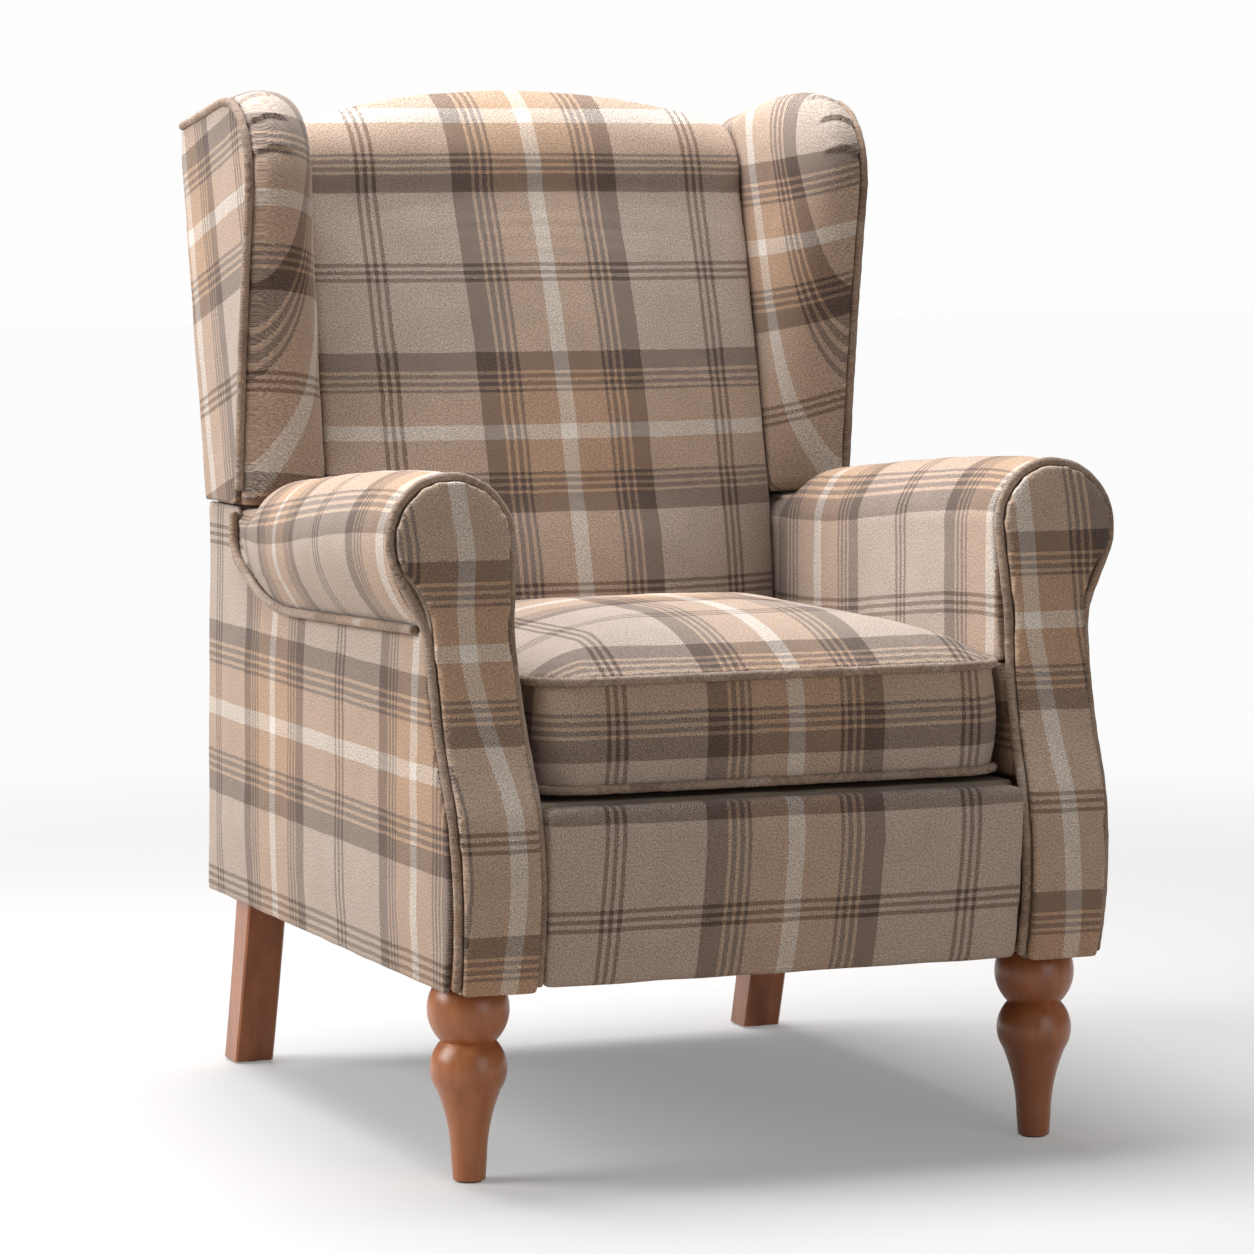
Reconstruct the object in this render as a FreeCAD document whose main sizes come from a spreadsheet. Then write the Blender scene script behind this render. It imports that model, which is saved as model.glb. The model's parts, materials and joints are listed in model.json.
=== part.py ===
import FreeCAD, Part
import math
import os
import re

import Sketcher
from FreeCAD import Vector

# Fireside wing chair with a drop-in back and a loose box cushion, in millimetres.
# +Z is up, the front faces -Y, X = 0 is the middle, Z = 0 is the floor.
# A setback is a distance behind the foot of the arm fronts, which stands at front_plane.

SIZES = [
    ("front_plane", -407, "Y of the foot of the arm fronts"),
    ("soft_gap", 0.3, "clearance of soft and curved pieces"),
    ("bead_radius", 4, "radius of the fabric covered piping"),
    # Arm front, side view: foot, belly, bend, waist, neck and crown of its S curve
    ("skirt_bottom", 188, "lower edge of the covers"),
    ("belly_height", 300, "height of the fullest place of the arm front"),
    ("belly_setback", -13, "setback there"),
    ("bend_height", 357, "height where the belly turns into the waist"),
    ("bend_setback", -3, "setback there"),
    ("waist_height", 450, "height of the hollow above the belly"),
    ("waist_setback", 34, "setback there"),
    ("neck_height", 520, "height of the neck below the scroll"),
    ("neck_setback", 47, "setback there"),
    ("crown_height", 668, "height of the scroll's top"),
    ("crown_setback", 64, "setback there"),
    # Arm front, front view
    ("facing_foot_inner", 245, "inner edge at the foot"),
    ("facing_foot_outer", 333, "outer edge at the foot"),
    ("facing_neck_inner", 254, "inner edge at the neck"),
    ("facing_neck_outer", 342, "outer edge at the neck"),
    ("facing_throat_outer", 348, "outer edge halfway from neck to scroll"),
    ("facing_throat_height", 548, "height of that place"),
    ("scroll_x", 311.5, "centre of the scroll"),
    ("scroll_height", 604.5, "height of its centre"),
    ("scroll_radius", 63.5, "radius over the piping"),
    ("scroll_outer_angle", -30, "where the scroll starts outside, in degrees"),
    ("scroll_inner_angle", 186, "where the scroll ends inside, in degrees"),
    ("facing_pad_proud", 8, "how far the padding stands before the S curve"),
    ("facing_board_setback", 4, "front of the board behind the S curve"),
    ("facing_board_thickness", 12, "plywood of the arm front"),
    # Timber of the seat box and arms
    ("rail_bottom", 192, "underside of the seat rails"),
    ("rail_height", 140, "height of the seat rails"),
    ("rail_thickness", 25, "front and back rail"),
    ("side_rail_thickness", 25, "side rails and rear stumps"),
    ("front_rail_setback", 18, "front face of the front rail"),
    ("back_rail_setback", 722, "front face of the back rail"),
    ("stump_depth", 35, "front stump, from front to back"),
    ("arm_inner", 250, "half the width between the arms"),
    ("arm_outer", 338, "half the width over the outside panels"),
    ("arm_pad_thickness", 12, "padding inside the arm"),
    ("inside_panel_thickness", 4, "board under that padding"),
    ("outside_panel_thickness", 7, "board and wadding outside the arm"),
    ("arm_board_front", 640, "top of the arm board at its front"),
    ("arm_board_rear", 592, "top of the arm board at its rear"),
    ("arm_board_thickness", 22, "arm board"),
    ("arm_board_end_setback", 749, "rear end of the arm board and rear stump"),
    ("rear_stump_depth", 49, "rear stump at its top"),
    ("rear_stump_foot_setback", 768, "rear edge of the rear stump at its foot"),
    ("post_inner", 243, "inner face of the bracket posts"),
    ("post_setback", 703, "front face of the bracket posts"),
    ("post_depth", 45, "bracket post, from front to back"),
    ("post_top", 560, "top of the bracket posts"),
    ("block_size", 60, "front to back length of a corner block"),
    ("block_height", 40, "height of a corner block"),
    ("rear_block_setback", 685, "front face of the rear corner blocks"),
    ("arm_pad_bottom", 361, "lower edge of the padding inside the arm"),
    ("inside_panel_top", 560, "upper edge of the board inside the arm"),
    ("roll_root", 470, "where the arm roll starts on the inner face"),
    # Arm roll
    ("roll_crest", 666, "height of the roll at its front"),
    ("roll_fall", 36, "fall of the roll up to the wing"),
    ("roll_rest", 602.5, "height of the arm under the wing"),
    ("roll_reach", 370, "outermost X of the roll at its front"),
    ("roll_start_setback", 71, "where the roll meets the arm front"),
    ("roll_dip_setback", 560, "where the roll starts to dive under the wing"),
    ("roll_rest_setback", 612, "where it has come down to its height under the wing"),
    ("roll_end_setback", 645, "where the roll's overhang ends"),
    ("roll_seam", 526, "underside seam of the roll at its front"),
    ("roll_seam_dip", 14, "how far that seam sinks towards the rear"),
    ("roll_seam_rise", 58, "how far it climbs round the roll's rear end"),
    ("roll_seam_turn_setback", 480, "where it starts to climb"),
    # Covers of the base
    ("border_low_setback", 2, "front border at its lower edge"),
    ("border_full_setback", -17, "front border where it is fullest"),
    ("border_full_height", 338, "height of that place"),
    ("border_top", 358, "top of the front border"),
    ("deck_bottom", 342, "underside of the seat deck"),
    ("deck_top", 360, "seat deck, on which the cushion lies"),
    ("rear_cover_foot_setback", 777, "rear cover at its lower edge"),
    ("rear_cover_head_setback", 758.5, "rear cover at its upper edge"),
    ("rear_cover_thickness", 8, "board and wadding behind the base"),
    ("dust_cover_thickness", 1.5, "cloth under the seat"),
    # Seat springs
    ("spring_count", 5, "sinuous springs, front to back"),
    ("spring_pitch", 92, "distance from spring to spring"),
    ("spring_wire_radius", 2, "spring wire"),
    ("spring_wire_height", 338, "height of the wire's middle"),
    ("spring_width", 46, "width of a spring's waves"),
    ("spring_waves", 14, "half waves of a spring"),
    ("clip_length", 16, "spring clip along the rail"),
    ("clip_depth", 14, "spring clip across the rail"),
    ("clip_height", 9.7, "spring clip above the rail"),
    ("clip_clearance", 0.1, "play of the wire in its clip"),
    # Legs
    ("front_leg_x", 295, "middle of the front legs"),
    ("front_leg_setback", 69, "middle of the front legs"),
    ("leg_glide_height", 2, "glide under each leg"),
    ("leg_foot_radius", 15.5, "turned foot"),
    ("leg_ankle_radius", 17, "turned leg just above the foot"),
    ("leg_ankle_height", 23, "height of that place"),
    ("leg_taper_radius", 22, "turned taper"),
    ("leg_taper_height", 62, "height of that place"),
    ("leg_flare_radius", 30.5, "turned flare"),
    ("leg_flare_height", 88, "height of that place"),
    ("leg_bulb_radius", 36.5, "turned bulb"),
    ("leg_bulb_height", 111, "height of that place"),
    ("leg_neck_radius", 26, "neck below the ball"),
    ("leg_neck_height", 134, "height of that place"),
    ("leg_ball_radius", 39, "ball"),
    ("leg_ball_height", 163, "height of its widest place"),
    ("leg_collar_radius", 29, "top of the ball"),
    ("rear_leg_x", 295, "middle of the rear legs"),
    ("rear_leg_width", 42, "rear leg across"),
    ("rear_leg_top_setback", 696, "front edge of the rear leg at its top"),
    ("rear_leg_sweep_setback", 723, "front edge of the rear leg halfway down"),
    ("rear_leg_sweep_height", 96, "height of that place"),
    ("rear_leg_foot_setback", 753, "front edge of the rear leg at the floor"),
    ("rear_leg_edge", 2, "bevel of the rear leg's long edges"),
    ("bolt_radius", 4, "hanger bolt"),
    ("bolt_bottom", 150, "lower end of the hanger bolts in the legs"),
    ("bolt_setback", 718, "rear bolts"),
    ("nut_barrel_radius", 5.2, "barrel of the tee nuts"),
    ("nut_flange_radius", 10.5, "flange of the tee nuts"),
    ("nut_flange_thickness", 2, "flange of the tee nuts"),
    ("fit_clearance", 0.05, "play of bolts, nuts, nails and screws"),
    ("glide_radius", 12, "head of a glide"),
    ("nail_radius", 1.2, "nail of a glide"),
    ("nail_length", 15, "nail of a glide"),
    # Drop-in back
    ("back_foot", 374, "lower end of the back between the arms"),
    ("back_low_height", 612, "height where the back starts to lean"),
    ("back_rear_low", 758, "setback of the outside back at that height"),
    ("back_high_height", 974, "height of the upper end of the lean"),
    ("back_rear_high", 836, "setback of the outside back at that height"),
    ("back_cover_thickness", 8, "board and wadding of the outside back"),
    ("upright_outer", 238, "outer face of the back uprights"),
    ("upright_thickness", 25, "back upright across"),
    ("upright_depth", 45, "back upright, from front to back"),
    ("upright_top", 965, "top of the back uprights"),
    ("back_rail_width", 60, "height of the rails between the uprights"),
    ("back_rail_inset", 10, "setback of these rails within the uprights"),
    ("webbing_width", 50, "elastic webbing"),
    ("webbing_thickness", 2, "elastic webbing"),
    ("webbing_count", 5, "straps across the back"),
    ("webbing_first", 470, "height of the lowest strap's middle"),
    ("webbing_pitch", 92, "distance from strap to strap"),
    ("wing_bottom", 606.5, "underside of the wings and the outside back"),
    # Inside back pad: setbacks of its face at five heights, in the middle and at its sides
    ("pad_foot_height", 400, "lowest of these heights"),
    ("pad_lap_height", 505, "height just above the cushion's rear"),
    ("pad_low_height", 610, "height of the small of the back"),
    ("pad_mid_height", 773, "height of the shoulders"),
    ("pad_high_height", 930, "height of the head"),
    ("pad_foot_middle", 541, "middle"),
    ("pad_lap_middle", 543, "middle"),
    ("pad_low_middle", 572, "middle"),
    ("pad_mid_middle", 617, "middle"),
    ("pad_high_middle", 684, "middle"),
    ("pad_top_middle", 760, "middle"),
    ("pad_foot_side", 606, "side"),
    ("pad_lap_side", 607, "side"),
    ("pad_low_side", 620, "side"),
    ("pad_mid_side", 657, "side"),
    ("pad_high_side", 697, "side"),
    ("pad_top_side", 738, "side"),
    ("pad_top_height", 1038, "top of the back in the middle"),
    ("pad_shoulder_height", 1000, "top of the back at its sides"),
    ("pad_crown_power", 2.2, "how full the pad stays towards its sides"),
    ("pad_rear_drop", 14, "how much lower the top is at the rear"),
    # Wings: setbacks of the front edge at three heights, on four lines from outside to inside
    ("wing_low_height", 622, "lowest of these heights"),
    ("wing_mid_height", 765, "middle one"),
    ("wing_high_height", 935, "highest one"),
    ("wing_outer", 338.7, "outer face of the wing's padding"),
    ("wing_outer_low", 629, "outer line"),
    ("wing_outer_mid", 611, "outer line"),
    ("wing_outer_high", 581, "outer line"),
    ("wing_outer_top", 668, "setback of the outer line's top"),
    ("wing_outer_crown", 1026, "height of the outer line's top"),
    ("wing_nose", 314, "nose of the wing"),
    ("wing_nose_low", 623, "nose line"),
    ("wing_nose_mid", 604, "nose line"),
    ("wing_nose_high", 573, "nose line"),
    ("wing_nose_top", 668, "setback of the nose line's top"),
    ("wing_nose_crown", 1034, "height of the nose line's top"),
    ("wing_cheek", 280, "inner cheek of the wing"),
    ("wing_cheek_low", 624, "cheek line"),
    ("wing_cheek_mid", 608, "cheek line"),
    ("wing_cheek_high", 594, "cheek line"),
    ("wing_cheek_top", 678, "setback of the cheek line's top"),
    ("wing_cheek_crown", 1030, "height of the cheek line's top"),
    ("wing_rear_drop", 24, "how much lower the wing is at the rear"),
    ("wing_panel_thickness", 4, "outer panel of the wing"),
    ("wing_board_inner", 303, "inner face of the wing board"),
    ("wing_board_thickness", 18, "wing board"),
    ("wing_board_inset", 32, "padding around the wing board"),
    ("wing_block_size", 36, "height and depth of the blocks that hold the wing board"),
    ("wing_block_low", 690, "underside of the lower blocks"),
    ("wing_block_high", 880, "underside of the upper blocks"),
    # Interlocking brackets between base and back
    ("bracket_sheet", 1.5, "steel of the brackets"),
    ("bracket_play", 0.2, "play between hook and receiver"),
    ("bracket_width", 36, "receiver, from front to back"),
    ("bracket_wall", 2, "side walls of the receiver"),
    ("bracket_lip", 6, "lips of the receiver"),
    ("bracket_lip_thickness", 1.2, "lips of the receiver"),
    ("bracket_bottom", 430, "lower end of the receiver"),
    ("bracket_height", 100, "height of the receiver"),
    ("bracket_stop", 10, "floor of the receiver, on which the hook rests"),
    ("hook_height", 80, "height of the hook"),
    ("screw_radius", 2, "bracket screws"),
    ("screw_length", 16, "bracket screws"),
    ("screw_spacing", 44, "distance between a bracket's screws"),
    # Box cushion
    ("cushion_half_width", 241.5, "half the cover's width"),
    ("cushion_front_setback", 15, "front of the cover"),
    ("cushion_rear_setback", 528, "rear of the cover"),
    ("cushion_corner", 30, "rounding of the corners in plan"),
    ("cushion_seam", 473, "height of the upper piping"),
    ("cushion_low_seam", 365, "height of the lower piping"),
    ("cushion_bulge", 2, "how far the border swells between the pipings"),
    ("cushion_crown", 521, "height of the cushion's middle"),
    ("cushion_wrap", 6, "cover with its wadding"),
    ("bead_sunk", 2.5, "how deep the piping sits in the cover's edge"),
    # Zip
    ("zip_half_length", 190, "half the length of the zip"),
    ("zip_height", 419, "height of the zip's middle"),
    ("zip_tape_width", 25, "zip tape"),
    ("zip_tape_thickness", 1, "zip tape"),
    ("zip_teeth_width", 6, "zip teeth"),
    ("zip_teeth_thickness", 1.6, "zip teeth"),
    ("slider_length", 10, "zip slider"),
    ("slider_lip", 1.8, "sides of the slider"),
    ("slider_plate", 1.6, "back of the slider"),
    ("slider_start", 8, "distance of the closed slider from the zip's end"),
    ("tab_length", 24, "pull tab"),
    ("tab_width", 7, "pull tab"),
    ("tab_thickness", 1.2, "pull tab"),
]
MATHS_WORDS = {"cos", "sin", "deg"}
FRONT_POINTS = 25
ROLL_SECTIONS = 24

# Expressions that several pieces share
FRAME_INNER = "(arm_inner + arm_pad_thickness + inside_panel_thickness)"
FRAME_OUTER = "(arm_outer - outside_panel_thickness)"
SIDE_RAIL_INNER = f"({FRAME_OUTER} - side_rail_thickness)"
RAIL_TOP = "(rail_bottom + rail_height)"
ARM_START = "(facing_board_setback + facing_board_thickness + soft_gap)"
LEG_LENGTH = "(rail_bottom - leg_glide_height)"

doc = FreeCAD.newDocument("fireside_chair")
sheet = doc.addObject("Spreadsheet::Sheet", "Sizes")
for row, (alias, number, note) in enumerate(SIZES, start=1):
    sheet.set(f"A{row}", alias)
    sheet.set(f"B{row}", str(number))
    sheet.set(f"C{row}", note)
    sheet.setAlias(f"B{row}", alias)
doc.recompute()

nodes = {}


def link(expression):
    """The expression with the name of every size pointed at the sheet."""
    return re.sub(
        r"[a-z]+(_[a-z0-9]+)*",
        lambda word: word.group() if word.group() in MATHS_WORDS else "Sizes." + word.group(),
        expression,
    )


def value(expression):
    """The number that an expression of sizes gives."""
    result = sheet.evalExpression(link(expression))
    return float(getattr(result, "Value", result))


def setback(distance):
    """Y of a setback."""
    return f"(front_plane + {distance})"


def keep(label, piece):
    """Names a finished sub-part, which is written to a file of that name."""
    piece.Label = label
    nodes[label] = piece
    return piece


def bind(piece, **expressions):
    """Binds properties of a piece to sizes; a double underscore stands for a point."""
    for path, expression in expressions.items():
        piece.setExpression(path.replace("__", "."), link(expression))


def place(piece, x, y, z):
    """Binds the place of a piece to sizes."""
    bind(piece, Placement__Base__x=x, Placement__Base__y=y, Placement__Base__z=z)


def box(name, x, y, z, length, width, height):
    """A block from its lowest corner and its sizes along X, Y and Z."""
    piece = doc.addObject("Part::Box", name)
    bind(piece, Length=length, Width=width, Height=height)
    place(piece, x, y, z)
    return piece


def rod(name, x, y, z, radius, height, direction="Z"):
    """A cylinder from the middle of its end, along X or Z."""
    piece = doc.addObject("Part::Cylinder", name)
    bind(piece, Radius=radius, Height=height)
    if direction == "X":
        piece.Placement.Rotation = FreeCAD.Rotation(Vector(0, 1, 0), 90)
    place(piece, x, y, z)
    return piece


def cut(name, base, *tools):
    """One piece with others taken out of it."""
    piece = doc.addObject("Part::Cut", name)
    piece.Base = base
    piece.Tool = tools[0] if len(tools) == 1 else group(name + "_tools", *tools)
    return piece


def join(name, *pieces):
    """Pieces that are one solid."""
    piece = doc.addObject("Part::MultiFuse", name)
    piece.Shapes = list(pieces)
    return piece


def group(name, *pieces):
    """Separate solids that share a node."""
    piece = doc.addObject("Part::Compound", name)
    piece.Links = list(pieces)
    return piece


def mirrored(name, source):
    """The same piece on the other side of X = 0."""
    piece = doc.addObject("Part::Mirroring", name)
    piece.Source = source
    piece.Normal = Vector(1, 0, 0)
    return piece


def keep_pair(label, piece):
    """Keeps the piece of the +X side and its mirror image as two nodes."""
    keep(label + "_right", piece)
    keep(label + "_left", mirrored(label + "_mirror", piece))


def keep_both(label, *pieces):
    """Keeps pieces of the +X side and their mirror images as one node."""
    images = [mirrored(f"{label}_mirror_{number}", piece) for number, piece in enumerate(pieces)]
    return keep(label, group(label + "_group", *pieces, *images))


def pin_point(sketch, geometry, end, u, v):
    """Ties a point of a sketch to two expressions, measured from its origin."""
    for kind, expression in (("DistanceX", u), ("DistanceY", v)):
        place_in_list = sketch.addConstraint(
            Sketcher.Constraint(kind, -1, 1, geometry, end, value(expression))
        )
        sketch.setExpression(f"Constraints[{place_in_list}]", link(expression))


def draw(sketch, points):
    """Closes an outline. Points are (u, v) corners; ("arc", u, v) bends the next side through it."""
    corner, through, sides = None, None, []
    for point in points + points[:1]:
        if point[0] == "arc":
            through = point[1:]
            continue
        if corner:
            sides.append((corner, through, point))
        corner, through = point, None
    ends = []
    for start, through, end in sides:
        first, last = (Vector(value(u), value(v), 0) for u, v in (start, end))
        if through is None:
            ends.append((sketch.addGeometry(Part.LineSegment(first, last)), 1, 2))
            continue
        middle = Vector(value(through[0]), value(through[1]), 0)
        if (middle - first).cross(last - first).z > 0:
            ends.append((sketch.addGeometry(Part.Arc(first, middle, last)), 1, 2))
        else:
            ends.append((sketch.addGeometry(Part.Arc(last, middle, first)), 2, 1))
    for side, here, after in zip(sides, ends, ends[1:] + ends[:1]):
        start, through, end = side
        sketch.addConstraint(Sketcher.Constraint("Coincident", here[0], here[2], after[0], after[1]))
        pin_point(sketch, here[0], here[1], *start)
        if through:
            mark = sketch.addGeometry(Part.Point(Vector(value(through[0]), value(through[1]), 0)), True)
            pin_point(sketch, mark, 1, *through)
            sketch.addConstraint(Sketcher.Constraint("PointOnObject", mark, 1, here[0]))


def sketched_body(name, plane, points, offset="0 * soft_gap"):
    """A body with one sketch on an origin plane, moved along that plane's normal."""
    body = doc.addObject("PartDesign::Body", name)
    sketch = body.newObject("Sketcher::SketchObject", name + "_outline")
    support = [item for item in body.Origin.OriginFeatures if item.Role == plane][0]
    sketch.AttachmentSupport = (support, [""])
    sketch.MapMode = "FlatFace"
    bind(sketch, AttachmentOffset__Base__z=offset)
    draw(sketch, points)
    return body, sketch


def plate(name, plane, points, offset, length):
    """A body padded from an outline: along +X from YZ_Plane, -Y from XZ_Plane, +Z from XY_Plane."""
    body, sketch = sketched_body(name, plane, points, offset)
    pad = body.newObject("PartDesign::Pad", name + "_pad")
    pad.Profile = sketch
    bind(pad, Length=length)
    return body


def solid(name, shape):
    """A piece whose shape is worked out below from the sheet's sizes."""
    piece = doc.addObject("Part::Feature", name)
    piece.Shape = shape
    return piece


def outline_wire(points):
    """A closed wire through vectors; a list of one vector bends the next side through it."""
    edges, corner, through = [], None, None
    for point in points + points[:1]:
        if isinstance(point, list):
            through = point[0]
            continue
        if corner is not None:
            straight = through is None
            edge = Part.LineSegment(corner, point) if straight else Part.Arc(corner, through, point)
            edges.append(edge.toShape())
        corner, through = point, None
    return Part.Wire(edges)


def tube(points, radius):
    """A tube along straight runs joined by tangent arcs, as large as the runs allow."""
    edges, last = [], points[0]
    for before, here, after in zip(points, points[1:], points[2:]):
        back, ahead = (before - here), (after - here)
        reach = 0.45 * min(back.Length, ahead.Length)
        start, end = here + back.normalize() * reach, here + ahead.normalize() * reach
        middle = (start + end) * 0.5
        half_chord = (end - start).Length / 2
        apex = (here - middle).Length
        if apex < 0.001:
            continue
        bend_radius = half_chord * reach / apex
        centre = here + (middle - here).normalize() * (bend_radius**2 + reach**2) ** 0.5
        through = centre + (here - centre).normalize() * bend_radius
        edges.append(Part.LineSegment(last, start).toShape())
        edges.append(Part.Arc(start, through, end).toShape())
        last = end
    edges.append(Part.LineSegment(last, points[-1]).toShape())
    path = Part.Wire(edges)
    section = Part.Wire(Part.makeCircle(radius, points[0], points[1] - points[0]))
    return path.makePipeShell([section], True, False)


def front_curve(distance, bottom="skirt_bottom"):
    """Corners of the arm front's S curve in side view, from its foot up, moved back by a distance."""
    return [
        (setback(distance), bottom),
        ("arc", setback(f"belly_setback + {distance}"), "belly_height"),
        (setback(f"bend_setback + {distance}"), "bend_height"),
        ("arc", setback(f"waist_setback + {distance}"), "waist_height"),
        (setback(f"neck_setback + {distance}"), "neck_height"),
        (setback(f"crown_setback + {distance}"), "crown_height"),
    ]


def front_setback(height):
    """Setback of the arm front's S curve at a height."""
    foot = Vector(0, value("skirt_bottom"), 0)
    belly, bend, waist, neck, crown = (
        Vector(value(f"{name}_setback"), value(f"{name}_height"), 0)
        for name in ("belly", "bend", "waist", "neck", "crown")
    )
    curve = Part.Arc(foot, belly, bend).toShape().discretize(FRONT_POINTS)
    curve += Part.Arc(bend, waist, neck).toShape().discretize(FRONT_POINTS)[1:] + [crown]
    for low, high in zip(curve, curve[1:]):
        if height <= high.y:
            return low.x + (high.x - low.x) * (height - low.y) / (high.y - low.y)
    return crown.x


def facing_outline(inset):
    """Front view of an arm front, inside its outer edge by a distance."""
    rim = f"(scroll_radius - {inset})"

    def on_scroll(angle):
        return (
            f"scroll_x + {rim} * cos({angle} * 1 deg)",
            f"scroll_height + {rim} * sin({angle} * 1 deg)",
        )

    outer_side = on_scroll("(90 + scroll_outer_angle) / 2")
    inner_side = on_scroll("(90 + scroll_inner_angle) / 2")
    return [
        (f"facing_foot_inner + {inset}", "skirt_bottom"),
        (f"facing_foot_outer - {inset}", "skirt_bottom"),
        (f"facing_neck_outer - {inset}", "neck_height"),
        ("arc", f"facing_throat_outer - {inset}", "facing_throat_height"),
        on_scroll("scroll_outer_angle"),
        ("arc", *outer_side),
        on_scroll("90"),
        ("arc", *inner_side),
        on_scroll("scroll_inner_angle"),
        (f"facing_neck_inner + {inset}", "neck_height"),
        (f"facing_foot_inner + {inset}", "bend_height"),
    ]


def facing_layer(name, inset, front, back):
    """One layer of an arm front: its front view, between two curves of its side view."""
    across = plate(
        name + "_front_view",
        "XZ_Plane",
        facing_outline(inset),
        f"0 - {setback('crown_setback + 2 * stump_depth')}",
        "crown_setback + 4 * stump_depth",
    )
    band = plate(
        name + "_side_view",
        "YZ_Plane",
        front_curve(front) + front_curve(back)[::-1],
        "facing_foot_inner - scroll_radius",
        "4 * scroll_radius",
    )
    layer = doc.addObject("Part::Common", name)
    layer.Base = across
    layer.Tool = band
    return layer


def build_arm_fronts():
    """Board, padding and piping on the front of each arm."""
    pad_inset = "(2 * bead_radius + soft_gap)"
    board_back = "(facing_board_setback + facing_board_thickness)"
    board = facing_layer("facing_board", pad_inset, "facing_board_setback", board_back)
    keep_both("facing_boards", board)
    front, back = "(0 - facing_pad_proud)", "(facing_board_setback - soft_gap)"
    keep_pair("facing_pad", facing_layer("facing_pad", pad_inset, front, back))

    inset = value("bead_radius")
    depth = value(setback("2 * facing_board_setback"))
    scroll_x, scroll_z = value("scroll_x"), value("scroll_height")
    rim = value("scroll_radius") - inset
    bottom = value("skirt_bottom") + inset

    def on_bead(x, z):
        return Vector(x, depth + front_setback(z), z)

    start, end = value("scroll_outer_angle"), value("scroll_inner_angle")
    turns = 6
    step = (end - start) / turns

    def round_scroll(number):
        """Corner outside the scroll's circle, so that the runs between corners touch the circle."""
        corner = Vector(rim / math.cos(math.radians(step / 2)), 0, 0)
        turned = FreeCAD.Rotation(Vector(0, 0, 1), start + step * (number + 0.5)).multVec(corner)
        return on_bead(scroll_x + turned.x, scroll_z + turned.y)

    outer_foot, outer_neck = value("facing_foot_outer") - inset, value("facing_neck_outer") - inset
    inner_foot, inner_neck = value("facing_foot_inner") + inset, value("facing_neck_inner") + inset
    neck, bend = value("neck_height"), value("bend_height")
    runs = 8
    rises = [number / runs for number in range(runs + 1)]
    path = [on_bead(outer_foot + (outer_neck - outer_foot) * rise, bottom + (neck - bottom) * rise) for rise in rises]
    path += [round_scroll(number) for number in range(turns)]
    for rise in reversed(rises):
        height = bottom + (neck - bottom) * rise
        share = max(0, (height - bend) / (neck - bend))
        path.append(on_bead(inner_foot + (inner_neck - inner_foot) * share, height))
    keep_pair("facing_piping", solid("facing_piping", tube(path, inset)))


def build_seat_box():
    """Rails, stumps, blocks and posts that carry the seat, the arms and the back."""
    span = f"2 * {FRAME_INNER}"
    depth, top = "rail_thickness", "rail_height"
    front_y, back_y = setback("front_rail_setback"), setback("back_rail_setback")
    keep("front_rail", box("front_rail", f"0 - {FRAME_INNER}", front_y, "rail_bottom", span, depth, top))
    keep("back_rail", box("back_rail", f"0 - {FRAME_INNER}", back_y, "rail_bottom", span, depth, top))

    stump_rear = f"({ARM_START} + stump_depth)"
    rail_end = "(arm_board_end_setback - rear_stump_depth)"
    rail_length = f"{rail_end} - {stump_rear}"
    side_width = "side_rail_thickness"
    side = box(
        "side_rail", SIDE_RAIL_INNER, setback(stump_rear), "rail_bottom", side_width, rail_length, top
    )
    keep_pair("side_rail", side)

    slope = "((arm_board_front - arm_board_rear) / (arm_board_end_setback - roll_start_setback))"

    def under_board(distance):
        return f"(arm_board_front - arm_board_thickness - {slope} * ({distance} - roll_start_setback))"

    stump_front = front_curve(ARM_START, "rail_bottom")[:-1]
    neck_front, neck_rear = f"(neck_setback + {ARM_START})", f"(neck_setback + {stump_rear})"
    board_front = f"(crown_setback + {ARM_START})"
    board_rear = f"({board_front} + stump_depth)"
    stump_back = [
        (setback(neck_rear), "neck_height"),
        ("arc", setback(f"waist_setback + {stump_rear}"), "waist_height"),
        (setback(f"bend_setback + {stump_rear}"), "bend_height"),
        ("arc", setback(f"belly_setback + {stump_rear}"), "belly_height"),
        (setback(stump_rear), "rail_bottom"),
    ]
    stump_top = [
        (setback(board_front), under_board(board_front)),
        (setback(board_rear), under_board(board_rear)),
    ]
    width = f"{FRAME_OUTER} - {FRAME_INNER}"
    outline = stump_front + stump_top + stump_back
    keep_both("arm_stumps", plate("arm_stump", "YZ_Plane", outline, FRAME_INNER, width))

    rear_top_front = "(arm_board_end_setback - rear_stump_depth)"
    rear_stump = plate(
        "rear_stump",
        "YZ_Plane",
        [
            (setback(rear_top_front), "rail_bottom"),
            (setback("rear_stump_foot_setback"), "rail_bottom"),
            (setback("arm_board_end_setback"), under_board("arm_board_end_setback")),
            (setback(rear_top_front), under_board(rear_top_front)),
        ],
        SIDE_RAIL_INNER,
        side_width,
    )
    keep_both("rear_stumps", rear_stump)

    board = plate(
        "arm_board_blank",
        "YZ_Plane",
        [
            (setback(board_front), under_board(board_front)),
            (setback("arm_board_end_setback"), under_board("arm_board_end_setback")),
            (
                setback("arm_board_end_setback"),
                f"{under_board('arm_board_end_setback')} + arm_board_thickness",
            ),
            (setback(board_front), f"{under_board(board_front)} + arm_board_thickness"),
        ],
        FRAME_INNER,
        width,
    )
    keep_both("arm_boards", board)
    return board


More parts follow.
